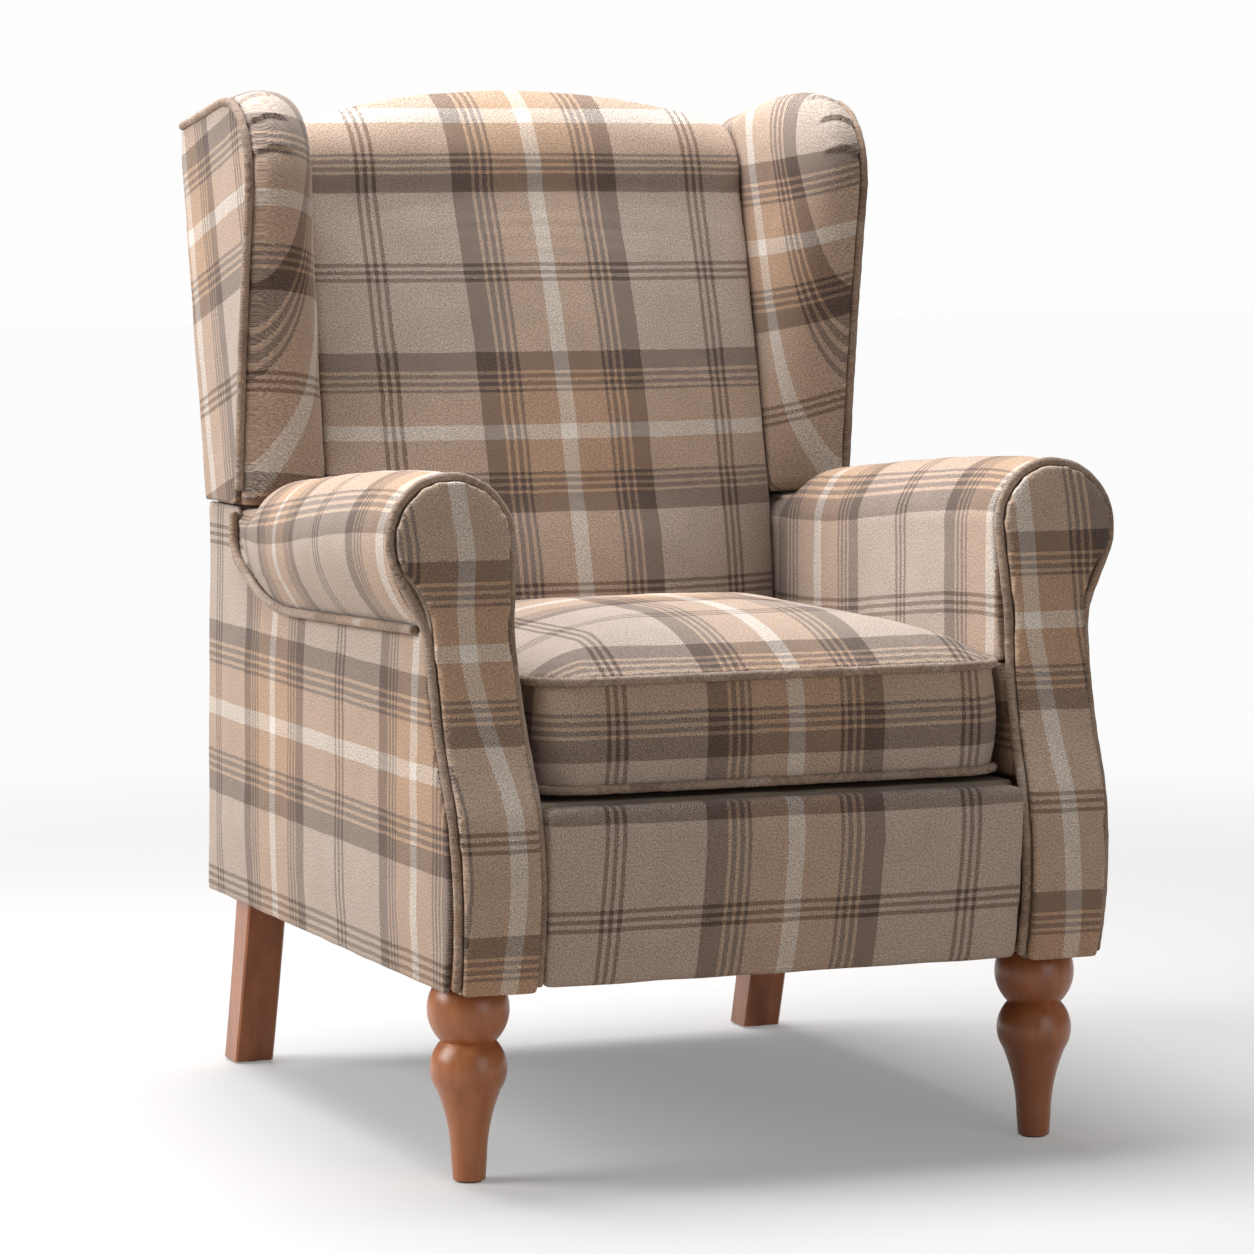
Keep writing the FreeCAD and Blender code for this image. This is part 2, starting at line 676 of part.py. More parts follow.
def build_blocks_and_posts():
    """Corner blocks over the legs, and the posts that hold the bracket receivers."""
    hole = "nut_barrel_radius + fit_clearance"
    width = f"{SIDE_RAIL_INNER} - {FRAME_INNER}"
    front_y = setback(f"({ARM_START} + stump_depth)")
    front_block = box(
        "front_block", FRAME_INNER, front_y, "rail_bottom", width, "block_size", "block_height"
    )
    rear_block = box(
        "rear_block",
        FRAME_INNER,
        setback("rear_block_setback"),
        "rail_bottom",
        width,
        "block_size",
        "block_height",
    )
    front_hole = rod(
        "front_block_hole",
        "front_leg_x",
        setback("front_leg_setback"),
        "rail_bottom",
        hole,
        "block_height",
    )
    rear_hole = rod(
        "rear_block_hole", "rear_leg_x", setback("bolt_setback"), "rail_bottom", hole, "block_height"
    )
    keep_both(
        "corner_blocks",
        cut("front_corner_block", front_block, front_hole),
        cut("rear_corner_block", rear_block, rear_hole),
    )
    post = box(
        "post_blank",
        "post_inner",
        setback("post_setback"),
        RAIL_TOP,
        f"{SIDE_RAIL_INNER} - post_inner",
        "post_depth",
        f"post_top - {RAIL_TOP}",
    )
    return post


def bracket_middle():
    """Y of the middle of the brackets."""
    return setback("(post_setback + post_depth / 2)")


def screw(name, head_x, inward, height):
    """A countersunk screw whose flat head lies flush with a bracket's sheet."""
    start = head_x if inward > 0 else f"{head_x} - screw_length"
    shank = rod(name + "_shank", start, bracket_middle(), height, "screw_radius", "screw_length", "X")
    head = doc.addObject("Part::Cone", name + "_head")
    head.Placement.Rotation = FreeCAD.Rotation(Vector(0, 1, 0), 90)
    wide, narrow = "2 * screw_radius", "screw_radius"
    bind(head, Height="bracket_sheet")
    bind(head, Radius1=wide if inward > 0 else narrow, Radius2=narrow if inward > 0 else wide)
    head_start = head_x if inward > 0 else f"{head_x} - bracket_sheet"
    place(head, head_start, bracket_middle(), height)
    return join(name, shank, head)


def build_brackets(post):
    """Receivers on the base and hooks on the back, which slide into each other from above."""
    middle = bracket_middle()
    sheet_face = "(post_inner - bracket_sheet)"
    lip_outer = f"({sheet_face} - bracket_sheet - 2 * bracket_play)"
    lip_inner = f"({lip_outer} - bracket_lip_thickness)"
    half = "bracket_width / 2"
    inside = f"({half} - bracket_wall)"
    mouth = f"({half} - bracket_lip)"
    channel = plate(
        "receiver_channel",
        "XY_Plane",
        [
            ("post_inner", f"{middle} - {half}"),
            ("post_inner", f"{middle} + {half}"),
            (lip_inner, f"{middle} + {half}"),
            (lip_inner, f"{middle} + {mouth}"),
            (lip_outer, f"{middle} + {mouth}"),
            (lip_outer, f"{middle} + {inside}"),
            (sheet_face, f"{middle} + {inside}"),
            (sheet_face, f"{middle} - {inside}"),
            (lip_outer, f"{middle} - {inside}"),
            (lip_outer, f"{middle} - {mouth}"),
            (lip_inner, f"{middle} - {mouth}"),
            (lip_inner, f"{middle} - {half}"),
        ],
        "bracket_bottom",
        "bracket_height",
    )
    stop = box(
        "receiver_stop",
        lip_inner,
        f"{middle} - {half}",
        "bracket_bottom",
        f"post_inner - {lip_inner}",
        "bracket_width",
        "bracket_stop",
    )
    receiver = join("receiver_blank", channel, stop)
    centre = "(bracket_bottom + bracket_height / 2)"
    heights = [f"{centre} - screw_spacing / 2", f"{centre} + screw_spacing / 2"]
    screws = [screw(f"receiver_screw_{row}", sheet_face, 1, height) for row, height in enumerate(heights)]
    keep_both("receiver_screws", *screws)
    keep_both("bracket_receivers", cut("receiver", receiver, *screws))
    keep_both("bracket_posts", cut("bracket_post", post, *screws))

    hook_face = f"({sheet_face} - bracket_play)"
    hook_back = f"({hook_face} - bracket_sheet)"
    stem = f"({mouth} - bracket_play)"
    wing = f"({inside} - bracket_play)"
    hook_blank = plate(
        "hook_blank",
        "XY_Plane",
        [
            ("upright_outer", f"{middle} - {stem}"),
            (hook_back, f"{middle} - {stem}"),
            (hook_back, f"{middle} - {wing}"),
            (hook_face, f"{middle} - {wing}"),
            (hook_face, f"{middle} + {wing}"),
            (hook_back, f"{middle} + {wing}"),
            (hook_back, f"{middle} + {stem}"),
            ("upright_outer", f"{middle} + {stem}"),
        ],
        "bracket_bottom + bracket_stop + bracket_play",
        "hook_height",
    )
    hook_screws = [screw(f"hook_screw_{row}", hook_face, -1, height) for row, height in enumerate(heights)]
    keep_both("hook_screws", *hook_screws)
    keep_both("bracket_hooks", cut("hook", hook_blank, *hook_screws))
    return hook_screws


def arm_cutter():
    """Everything before the arm's front end, to cut the arm's pieces along its S curve."""
    far = setback("(belly_setback - 2 * stump_depth)")
    high = "(crown_height + 2 * bead_radius)"
    outline = front_curve(ARM_START)
    outline += [(setback(f"crown_setback + {ARM_START}"), high), (far, high), (far, "skirt_bottom")]
    return plate("arm_cutter", "YZ_Plane", outline, "facing_foot_inner - scroll_radius", "4 * scroll_radius")


def seam_height(distance):
    """Height of the seam under the arm roll at a setback."""
    turn, end = value("roll_seam_turn_setback"), value("roll_end_setback")
    start = value("roll_start_setback")
    sink = min(1, (distance - start) / (turn - start))
    climb = min(1, max(0, (distance - turn) / (end - turn)))
    return value("roll_seam") - value("roll_seam_dip") * sink + value("roll_seam_rise") * climb**2.5


def roll_section(distance):
    """Section of the arm roll at a setback, on the +X side."""
    start, dip, low, end = (value(f"roll_{name}_setback") for name in ("start", "dip", "rest", "end"))
    inner, panel, rest = value("arm_inner"), value("arm_outer"), value("roll_rest")
    along = min(1, max(0, (distance - start) / (end - start)))
    to_dip = min(1, max(0, (distance - start) / (dip - start)))
    dive = min(1, max(0, (distance - dip) / (low - dip)))
    crest = value("roll_crest") - value("roll_fall") * to_dip**1.5
    crest += (rest - crest) * dive
    seam = seam_height(distance)
    flush = panel + value("soft_gap")
    reach = flush + (value("roll_reach") - flush) * (1 - along**3)
    side = (crest + seam) / 2 + value("bead_radius")
    half = (reach - inner) / 2
    shoulder = side + (crest - side) * 0.707

    def at(x, z):
        return Vector(x, value(setback(str(distance))), z)

    return outline_wire(
        [
            at(inner, value("roll_root")),
            at(inner, side),
            [at(inner + 0.293 * half, shoulder)],
            at(inner + half, crest),
            [at(reach - 0.293 * half, shoulder)],
            at(reach, side),
            [at(reach - 0.21 * (reach - panel), seam + 0.51 * (side - seam))],
            at(panel, seam),
        ]
    )


def build_arms(arm_board, post):
    """Panels, padding, roll and piping of both arms."""
    cutter = arm_cutter()
    rear = "post_setback"
    pad = plate(
        "arm_pad_blank",
        "YZ_Plane",
        [
            (setback("belly_setback"), "arm_pad_bottom"),
            (setback(rear), "arm_pad_bottom"),
            (setback(rear), "roll_root"),
            (setback("belly_setback"), "roll_root"),
        ],
        "arm_inner",
        "arm_pad_thickness",
    )
    keep_pair("arm_pad", cut("arm_pad", pad, cutter))
    panel = plate(
        "inside_panel_blank",
        "YZ_Plane",
        [
            (setback("belly_setback"), RAIL_TOP),
            (setback(rear), RAIL_TOP),
            (setback(rear), "inside_panel_top"),
            (setback("belly_setback"), "inside_panel_top"),
        ],
        "arm_inner + arm_pad_thickness",
        "inside_panel_thickness",
    )
    inside_panel = cut("inside_panel", panel, cutter)
    keep_both("inside_arm_panels", inside_panel)

    below = 5
    top = []
    stations = [value("roll_start_setback")]
    turn, end = value("roll_seam_turn_setback"), value("roll_end_setback")
    stations += [turn, turn + (end - turn) / 2, end]
    rear_cover = "(rear_cover_head_setback - rear_cover_thickness)"
    outline = [(setback("belly_setback"), "skirt_bottom")]
    outline.append((setback("rear_cover_foot_setback"), "skirt_bottom"))
    outline.append((setback("rear_cover_head_setback"), f"{seam_height(end) - below}"))
    for distance in reversed(stations):
        top.append((setback(str(distance)), f"{seam_height(distance) - below}"))
    outline += top
    outline.append((setback("belly_setback"), f"{seam_height(stations[0]) - below}"))
    blank = plate("outside_panel_blank", "YZ_Plane", outline, FRAME_OUTER, "outside_panel_thickness")
    outside_panel = cut("outside_arm_panel", blank, cutter)
    keep_pair("outside_arm_panel", outside_panel)

    first, last = value("belly_setback"), value(rear_cover)
    step = (last - first) / (ROLL_SECTIONS - 1)
    sections = [roll_section(first + step * number) for number in range(ROLL_SECTIONS)]
    loft = solid("arm_roll_blank", Part.makeLoft(sections, True, False))
    keep_pair(
        "arm_roll",
        cut(
            "arm_roll",
            loft,
            cutter,
            arm_board,
            inside_panel,
            outside_panel,
            nodes["arm_stumps"],
            nodes["rear_stumps"],
            post,
        ),
    )

    radius, gap = value("bead_radius"), value("soft_gap")
    lift = radius + gap
    bead_x = value("arm_outer") + lift + gap
    start = value(f"crown_setback + {ARM_START}") + gap

    def on_panel(distance, drop=lift):
        return Vector(bead_x, value(setback(str(distance))), seam_height(distance) - drop)

    path = [on_panel(start), on_panel((start + turn) / 2), on_panel(turn)]
    path.append(on_panel(turn + (end - turn) / 2, lift + 1))
    path.append(on_panel(end - radius, 4 * lift))
    path.append(Vector(bead_x, value(setback(str(end + 2 * lift))), seam_height(end) - lift))
    path.append(Vector(bead_x, value(setback(str(end + 2 * lift))), seam_height(end) + 4 * lift))
    keep_pair("arm_piping", solid("arm_piping", tube(path, radius)))


def build_base_covers():
    """Front border, rear cover, seat deck and dust cover."""
    half = "(facing_foot_inner - 0.5)"
    border = plate(
        "front_border",
        "YZ_Plane",
        [
            (setback("front_rail_setback"), "skirt_bottom"),
            (setback("front_rail_setback"), "border_top"),
            (setback("border_full_setback + 8"), "border_top"),
            ("arc", setback("border_full_setback + 2.5"), "border_top - 2.5"),
            (setback("border_full_setback"), "border_top - 8"),
            ("arc", setback("border_full_setback"), "(border_full_height + border_top - 8) / 2"),
            (setback("border_full_setback + 0.3"), "border_full_height - 8"),
            (
                "arc",
                setback("(border_full_setback + border_low_setback) / 2 - 3"),
                "(border_full_height + skirt_bottom) / 2",
            ),
            (setback("border_low_setback"), "skirt_bottom"),
        ],
        f"0 - {half}",
        f"2 * {half}",
    )
    keep("front_border", border)

    inner_foot = "(rear_cover_foot_setback - rear_cover_thickness)"
    inner_head = "(rear_cover_head_setback - rear_cover_thickness)"
    cover_top = "(wing_bottom - 2)"
    rear_cover = plate(
        "rear_cover",
        "YZ_Plane",
        [
            (setback(inner_foot), "skirt_bottom"),
            (setback("rear_cover_foot_setback"), "skirt_bottom"),
            (setback("rear_cover_head_setback"), cover_top),
            (setback(inner_head), cover_top),
        ],
        f"0 - {FRAME_OUTER}",
        f"2 * {FRAME_OUTER}",
    )
    keep("rear_cover", rear_cover)

    deck = box(
        "seat_deck",
        "0 - arm_inner + soft_gap",
        setback("front_rail_setback"),
        "deck_bottom",
        "2 * (arm_inner - soft_gap)",
        "post_setback - front_rail_setback - soft_gap",
        "deck_top - deck_bottom",
    )
    keep("seat_deck", deck)

    cloth_bottom = "rail_bottom - dust_cover_thickness"
    cloth = box(
        "dust_cloth_blank",
        f"0 - {FRAME_OUTER}",
        setback("front_rail_setback"),
        cloth_bottom,
        f"2 * {FRAME_OUTER}",
        "back_rail_setback + rail_thickness - front_rail_setback",
        "dust_cover_thickness",
    )
    holes = []
    for side, sign in (("right", ""), ("left", "0 - ")):
        holes.append(
            rod(
                f"leg_hole_{side}",
                f"{sign}front_leg_x",
                setback("front_leg_setback"),
                cloth_bottom,
                "leg_collar_radius + 3",
                "dust_cover_thickness",
            )
        )
        holes.append(
            box(
                f"leg_slot_{side}",
                f"{sign}rear_leg_x - rear_leg_width / 2 - 1",
                setback("rear_leg_top_setback - 2"),
                cloth_bottom,
                "rear_leg_width + 2",
                "rear_leg_width * 2",
                "dust_cover_thickness",
            )
        )
    keep("dust_cover", cut("dust_cover", cloth, *holes))


def spring_shape(x):
    """A sinuous spring from the front rail to the back rail, lying flat."""
    radius, height, half = value("spring_wire_radius"), value("spring_wire_height"), value("spring_width") / 2
    front = value(setback("front_rail_setback + rail_thickness / 2"))
    rear = value(setback("back_rail_setback + rail_thickness / 2"))
    waves = int(value("spring_waves"))
    step = (rear - front) / waves
    points = [Vector(x - half, front, height)]
    for wave in range(waves):
        side = half if wave % 2 == 0 else -half
        points.append(Vector(x + side, front + wave * step, height))
        points.append(Vector(x + side, front + (wave + 1) * step, height))
    points.append(Vector(x - points[-1].x + x, rear, height))
    return tube(points, radius)


def build_springs():
    """Sinuous springs under the seat, with the clips that hold them on the rails."""
    count, pitch = int(value("spring_count")), value("spring_pitch")
    middles = [(number - (count - 1) / 2) * pitch for number in range(count)]
    springs = [solid(f"spring_{number}", spring_shape(x)) for number, x in enumerate(middles)]
    keep("seat_springs", group("spring_group", *springs))

    clips = []
    for number, x in enumerate(middles):
        for rail, side in (("front", "-"), ("back", "+")):
            middle = setback(f"({rail}_rail_setback + rail_thickness / 2)")
            start = f"{x} {side} spring_width / 4 - clip_length / 2"
            block = box(
                f"clip_block_{rail}_{number}",
                start,
                f"{middle} - clip_depth / 2",
                RAIL_TOP,
                "clip_length",
                "clip_depth",
                "clip_height",
            )
            bore = rod(
                f"clip_bore_{rail}_{number}",
                start,
                middle,
                "spring_wire_height",
                "spring_wire_radius + clip_clearance",
                "clip_length",
                "X",
            )
            clips.append(cut(f"clip_{rail}_{number}", block, bore))
    keep("spring_clips", group("clip_group", *clips))


def build_legs():
    """Turned front legs, swept square rear legs, their bolts, nuts and glides."""
    bolt_hole = "bolt_radius + fit_clearance"
    nail_hole = "nail_radius + fit_clearance"
    nail_top = "leg_glide_height + nail_length"
    zero = "0 * soft_gap"
    body, sketch = sketched_body(
        "front_leg",
        "XZ_Plane",
        [
            (nail_hole, "leg_glide_height"),
            ("leg_foot_radius", "leg_glide_height"),
            ("leg_ankle_radius", "leg_ankle_height"),
            ("arc", "leg_taper_radius", "leg_taper_height"),
            ("leg_flare_radius", "leg_flare_height"),
            ("arc", "leg_bulb_radius", "leg_bulb_height"),
            ("leg_neck_radius", "leg_neck_height"),
            ("arc", "leg_ball_radius", "leg_ball_height"),
            ("leg_collar_radius", "rail_bottom"),
            (bolt_hole, "rail_bottom"),
            (bolt_hole, "bolt_bottom"),
            (zero, "bolt_bottom"),
            (zero, nail_top),
            (nail_hole, nail_top),
        ],
    )
    turning = body.newObject("PartDesign::Revolution", "front_leg_turning")
    turning.Profile = sketch
    turning.ReferenceAxis = (sketch, ["V_Axis"])
    turning.Angle = 360
    front = group("front_leg_placed", body)
    place(front, "front_leg_x", setback("front_leg_setback"), zero)
    keep_pair("front_leg", front)

    width = "rear_leg_width"
    blank = plate(
        "rear_leg_blank",
        "YZ_Plane",
        [
            (setback("rear_leg_foot_setback"), "leg_glide_height"),
            (setback(f"rear_leg_foot_setback + {width}"), "leg_glide_height"),
            ("arc", setback(f"rear_leg_sweep_setback + {width} + 2"), "rear_leg_sweep_height"),
            (setback(f"rear_leg_top_setback + {width} + 4"), "rail_bottom"),
            (setback("rear_leg_top_setback"), "rail_bottom"),
            ("arc", setback("rear_leg_sweep_setback"), "rear_leg_sweep_height"),
        ],
        "rear_leg_x - rear_leg_width / 2",
        width,
    )
    doc.recompute()
    edge = value("rear_leg_edge")
    long_edges = [
        f"Edge{number}"
        for number, item in enumerate(blank.Shape.Edges, start=1)
        if item.BoundBox.ZLength > value(LEG_LENGTH) - edge
    ]
    sharp = blank.Tip
    bevel = blank.newObject("PartDesign::Chamfer", "rear_leg_bevel")
    bevel.Base = (sharp, long_edges)
    bind(bevel, Size="rear_leg_edge")
    foot_middle = setback(f"rear_leg_foot_setback + {width} / 2")
    bolt_well = rod(
        "rear_bolt_well",
        "rear_leg_x",
        setback("bolt_setback"),
        "bolt_bottom",
        bolt_hole,
        "rail_bottom - bolt_bottom",
    )
    nail_well = rod(
        "rear_nail_well", "rear_leg_x", foot_middle, "leg_glide_height", nail_hole, "nail_length"
    )
    keep_pair("rear_leg", cut("rear_leg", blank, bolt_well, nail_well))

    block_top = "(rail_bottom + block_height)"
    bolts, nuts, glides = [], [], []
    for end, x, y in (
        ("front", "front_leg_x", setback("front_leg_setback")),
        ("rear", "rear_leg_x", setback("bolt_setback")),
    ):
        bolts.append(
            rod(f"{end}_bolt", x, y, "bolt_bottom", "bolt_radius", f"{block_top} - bolt_bottom")
        )
        barrel = rod(
            f"{end}_nut_barrel",
            x,
            y,
            f"{block_top} - block_height / 2",
            "nut_barrel_radius",
            "block_height / 2",
        )
        flange = rod(
            f"{end}_nut_flange", x, y, block_top, "nut_flange_radius", "nut_flange_thickness"
        )
        bore = rod(
            f"{end}_nut_bore",
            x,
            y,
            "rail_bottom",
            bolt_hole,
            "block_height + 2 * nut_flange_thickness",
        )
        nuts.append(cut(f"{end}_nut", join(f"{end}_nut_blank", barrel, flange), bore))
    for end, x, y in (
        ("front", "front_leg_x", setback("front_leg_setback")),
        ("rear", "rear_leg_x", foot_middle),
    ):
        head = rod(f"{end}_glide_head", x, y, zero, "glide_radius", "leg_glide_height")
        nail = rod(f"{end}_glide_nail", x, y, zero, "nail_radius", nail_top)
        glides.append(join(f"{end}_glide", head, nail))
    keep_both("leg_bolts", *bolts)
    keep_both("tee_nuts", *nuts)
    keep_both("glides", *glides)


def rear_face(height, inset="0"):
    """Setback of the outside back at a height, moved forward by an inset."""
    slope = "(back_rear_high - back_rear_low) / (back_high_height - back_low_height)"
    return f"(back_rear_low + {slope} * ({height} - back_low_height) - {inset})"


UPRIGHT_REAR_INSET = "(back_cover_thickness + soft_gap)"
UPRIGHT_FRONT_INSET = f"({UPRIGHT_REAR_INSET} + upright_depth)"


def leaning_bar(name, bottom, top, front, thickness, x, length):
    """A bar along X, whose front follows the lean of the back at an inset from its rear face."""
    rear = f"({front} - {thickness})"
    outline = [
        (setback(rear_face(bottom, front)), bottom),
        (setback(rear_face(bottom, rear)), bottom),
        (setback(rear_face(top, rear)), top),
        (setback(rear_face(top, front)), top),
    ]
    return plate(name, "YZ_Plane", outline, x, length)


def build_back_frame(hook_screws):
    """Uprights, rails, webbing, wing boards and blocks of the drop-in back."""
    low, top = "wing_bottom", "upright_top"
    rear, front = UPRIGHT_REAR_INSET, UPRIGHT_FRONT_INSET
    upright = plate(
        "upright_blank",
        "YZ_Plane",
        [
            (setback(rear_face(low, front)), "back_foot"),
            (setback(rear_face(low, rear)), "back_foot"),
            (setback(rear_face(low, rear)), low),
            (setback(rear_face(top, rear)), top),
            (setback(rear_face(top, front)), top),
            (setback(rear_face(low, front)), low),
        ],
        "upright_outer - upright_thickness",
        "upright_thickness",
    )
    keep_both("back_uprights", cut("back_upright", upright, *hook_screws))

    inner = "(upright_outer - upright_thickness)"
    span = f"2 * {inner}"
    rail_front = f"({front} - back_rail_inset)"
    top_bar = leaning_bar(
        "top_bar",
        "(upright_top - back_rail_width)",
        top,
        rail_front,
        "rail_thickness",
        f"0 - {inner}",
        span,
    )
    keep("back_top_rail", top_bar)
    low_bar = box(
        "low_bar",
        f"0 - {inner}",
        setback(rear_face(low, rail_front)),
        "back_foot",
        span,
        "rail_thickness",
        "back_rail_width",
    )
    keep("back_bottom_rail", low_bar)

    straps = []
    strap_front = f"({front} + webbing_thickness)"
    for number in range(int(value("webbing_count"))):
        bottom = f"(webbing_first + {number} * webbing_pitch - webbing_width / 2)"
        strap_top = f"({bottom} + webbing_width)"
        if value(strap_top) < value(low):
            strap = box(
                f"strap_{number}",
                "0 - upright_outer",
                setback(rear_face(low, strap_front)),
                bottom,
                "2 * upright_outer",
                "webbing_thickness",
                "webbing_width",
            )
        else:
            strap = leaning_bar(
                f"strap_{number}",
                bottom,
                strap_top,
                strap_front,
                "webbing_thickness",
                "0 - upright_outer",
                "2 * upright_outer",
            )
        straps.append(strap)
    keep("back_webbing", group("strap_group", *straps))

    inset = "wing_board_inset"
    board_top = f"(wing_outer_crown - {inset} - wing_rear_drop)"
    outline = [
        (setback(f"wing_outer_low + {inset}"), f"wing_bottom + {inset} / 2"),
        (setback(rear_face("wing_bottom", inset)), f"wing_bottom + {inset} / 2"),
        (setback(rear_face(board_top, inset)), board_top),
        (setback(f"wing_outer_top - {inset} / 2"), board_top),
        (setback(f"wing_outer_high + {inset}"), "wing_high_height"),
        (setback(f"wing_outer_mid + {inset}"), "wing_mid_height"),
    ]
    board = plate("wing_board", "YZ_Plane", outline, "wing_board_inner", "wing_board_thickness")
    keep_both("wing_boards", board)

    blocks = []
    for number, bottom in enumerate(("wing_block_low", "wing_block_high")):
        block_front = f"({UPRIGHT_REAR_INSET} + (upright_depth + wing_block_size) / 2)"
        blocks.append(
            leaning_bar(
                f"wing_block_{number}",
                bottom,
                f"({bottom} + wing_block_size)",
                block_front,
                "wing_block_size",
                "upright_outer",
                "wing_board_inner - upright_outer",
            )
        )
    keep_both("wing_blocks", *blocks)
    return board, blocks


def back_pad_section(x):
    """Side view of the inside back pad at a distance from the middle."""
    fullness = 1 - abs(x / value("arm_inner - soft_gap")) ** value("pad_crown_power")
    front = value("front_plane")

    def between(name):
        side, middle = value(f"pad_{name}_side"), value(f"pad_{name}_middle")
        return front + side + (middle - side) * fullness

    def at(y, z):
        return Vector(x, y, z)

    shoulder = value("pad_shoulder_height")
    top = shoulder + (value("pad_top_height") - shoulder) * fullness
    high = value("pad_high_height")
    corner_y = between("high") + 0.3 * (between("top") - between("high"))
    corner_z = high + 0.68 * (top - high)
    frame_top = value("upright_top + soft_gap")
    strap_inset = f"({UPRIGHT_FRONT_INSET} + webbing_thickness + soft_gap)"
    frame_front_top = value(setback(rear_face("(upright_top + soft_gap)", strap_inset)))
    frame_front_low = value(setback(rear_face("wing_bottom", strap_inset)))
    rear_top = value(setback(rear_face("(upright_top + soft_gap)", UPRIGHT_REAR_INSET)))
    foot = value("back_foot")
    return outline_wire(
        [
            at(between("foot"), value("pad_foot_height")),
            [at(between("lap"), value("pad_lap_height"))],
            at(between("low"), value("pad_low_height")),
            [at(between("mid"), value("pad_mid_height"))],
            at(between("high"), high),
            [at(corner_y, corner_z)],
            at(between("top"), top),
            at(rear_top - 6, top - value("pad_rear_drop")),
            at(rear_top, frame_top),
            at(frame_front_top, frame_top),
            at(frame_front_low, value("wing_bottom")),
            at(frame_front_low, foot),
            at(between("foot") + 20, foot),
        ]
    )


def wing_section(x, low, mid, high, top, crown):
    """Side view of a wing at X, from the setbacks of its front edge and its top."""
    front = value("front_plane")
    bottom = value("wing_bottom")

    def at(distance, z):
        return Vector(x, front + distance, z)

    high_z = value("wing_high_height")
    corner = high + 0.24 * (top - high)
    corner_z = high_z + 0.72 * (crown - high_z)
    rear_top_z = crown - value("wing_rear_drop")
    rear_top = value(rear_face(str(rear_top_z), UPRIGHT_REAR_INSET)) - 8
    shoulder_z = value("back_high_height") - 10
    return outline_wire(
        [
            at(low, value("wing_low_height")),
            [at(mid, value("wing_mid_height"))],
            at(high, high_z),
            [at(corner, corner_z)],
            at(top, crown),
            at(rear_top, rear_top_z),
            at(value(rear_face(str(shoulder_z), UPRIGHT_REAR_INSET)), shoulder_z),
            at(value(rear_face("wing_bottom", UPRIGHT_REAR_INSET)), bottom),
            at(low + 16, bottom),
            [at(low + 4, bottom + 4)],
        ]
    )


def wing_line(name):
    """The five sizes of one of the wing's lines."""
    return [value(f"wing_{name}_{item}") for item in ("low", "mid", "high", "top", "crown")]


def build_back_covers(board, blocks):
    """Inside back, wings, outer panels, piping and outside back."""
    half = value("arm_inner")
    half_pad = half - value("soft_gap")
    shares = [-1, -0.86, -0.66, -0.36, 0, 0.36, 0.66, 0.86, 1]
    pad = Part.makeLoft([back_pad_section(share * half_pad) for share in shares], True, False)
    keep("inside_back_pad", solid("inside_back_pad", pad))

    seam = [value(f"pad_{item}_side") for item in ("low", "mid", "high", "top")]
    seam.append(value("pad_shoulder_height"))
    lines = [
        (value("wing_outer"), wing_line("outer")),
        (value("wing_nose"), wing_line("nose")),
        (value("wing_cheek"), wing_line("cheek")),
        (half, seam),
    ]
    sections = [wing_section(x, *line) for x, line in lines]
    wing = solid("wing_blank", Part.makeLoft(sections, True, False))
    keep_pair("wing_pad", cut("wing_pad", wing, board, *blocks))

    bead = value("bead_radius")
    low, mid, high, top, crown = wing_line("outer")
    inset = 2 * bead + value("soft_gap")
    panel_x = value("wing_outer + soft_gap")
    panel_outline = wing_section(panel_x, low + inset, mid + inset, high + inset, top + inset, crown - inset)
    panel = Part.Face(panel_outline).extrude(Vector(value("wing_panel_thickness"), 0, 0))

    inset = bead - value("soft_gap")
    edge = wing_section(panel_x + bead, low + inset, mid + inset, high + inset, top + inset, crown - inset)
    path = [point for side in edge.Edges[:3] for point in side.discretize(6)[:-1]]
    path.append(edge.Edges[2].Vertexes[-1].Point)
    piping = solid("wing_piping", tube(path, bead))
    keep_pair("wing_piping", piping)
    keep_pair("wing_outer_panel", cut("wing_outer_panel", solid("wing_panel_blank", panel), piping))

    thickness = "back_cover_thickness"
    cover_top = "(back_high_height + pad_rear_drop)"
    outline = [
        (setback(rear_face("wing_bottom", thickness)), "wing_bottom"),
        (setback(rear_face("wing_bottom")), "wing_bottom"),
        (setback(rear_face("back_high_height")), "back_high_height"),
        ("arc", setback(rear_face("back_high_height", "1")), f"{cover_top} - pad_rear_drop / 2"),
        (setback(rear_face("back_high_height", "4")), cover_top),
        (setback(rear_face("back_high_height", thickness)), cover_top),
        (setback(rear_face("back_high_height", thickness)), "back_high_height"),
    ]
    width = "(wing_outer - soft_gap)"
    cover = plate("outside_back", "YZ_Plane", outline, f"0 - {width}", f"2 * {width}")
    keep("outside_back", cover)


def cushion_outline(inset, height):
    """Plan of the cushion at a height, inside the cover's edge by an inset."""
    half = value("cushion_half_width") - inset
    front = value(setback("cushion_front_setback")) + inset
    rear = value(setback("cushion_rear_setback")) - inset
    corner = max(value("cushion_corner") - inset / 4, 4)
    bend = 0.293 * corner

    def at(x, y):
        return Vector(x, y, height)

    return outline_wire(
        [
            at(0, front),
            at(half - corner, front),
            [at(half - bend, front + bend)],
            at(half, front + corner),
            at(half, rear - corner),
            [at(half - bend, rear - bend)],
            at(half - corner, rear),
            at(0, rear),
            at(corner - half, rear),
            [at(bend - half, rear - bend)],
            at(-half, rear - corner),
            at(-half, front + corner),
            [at(bend - half, front + bend)],
            at(corner - half, front),
        ]
    )


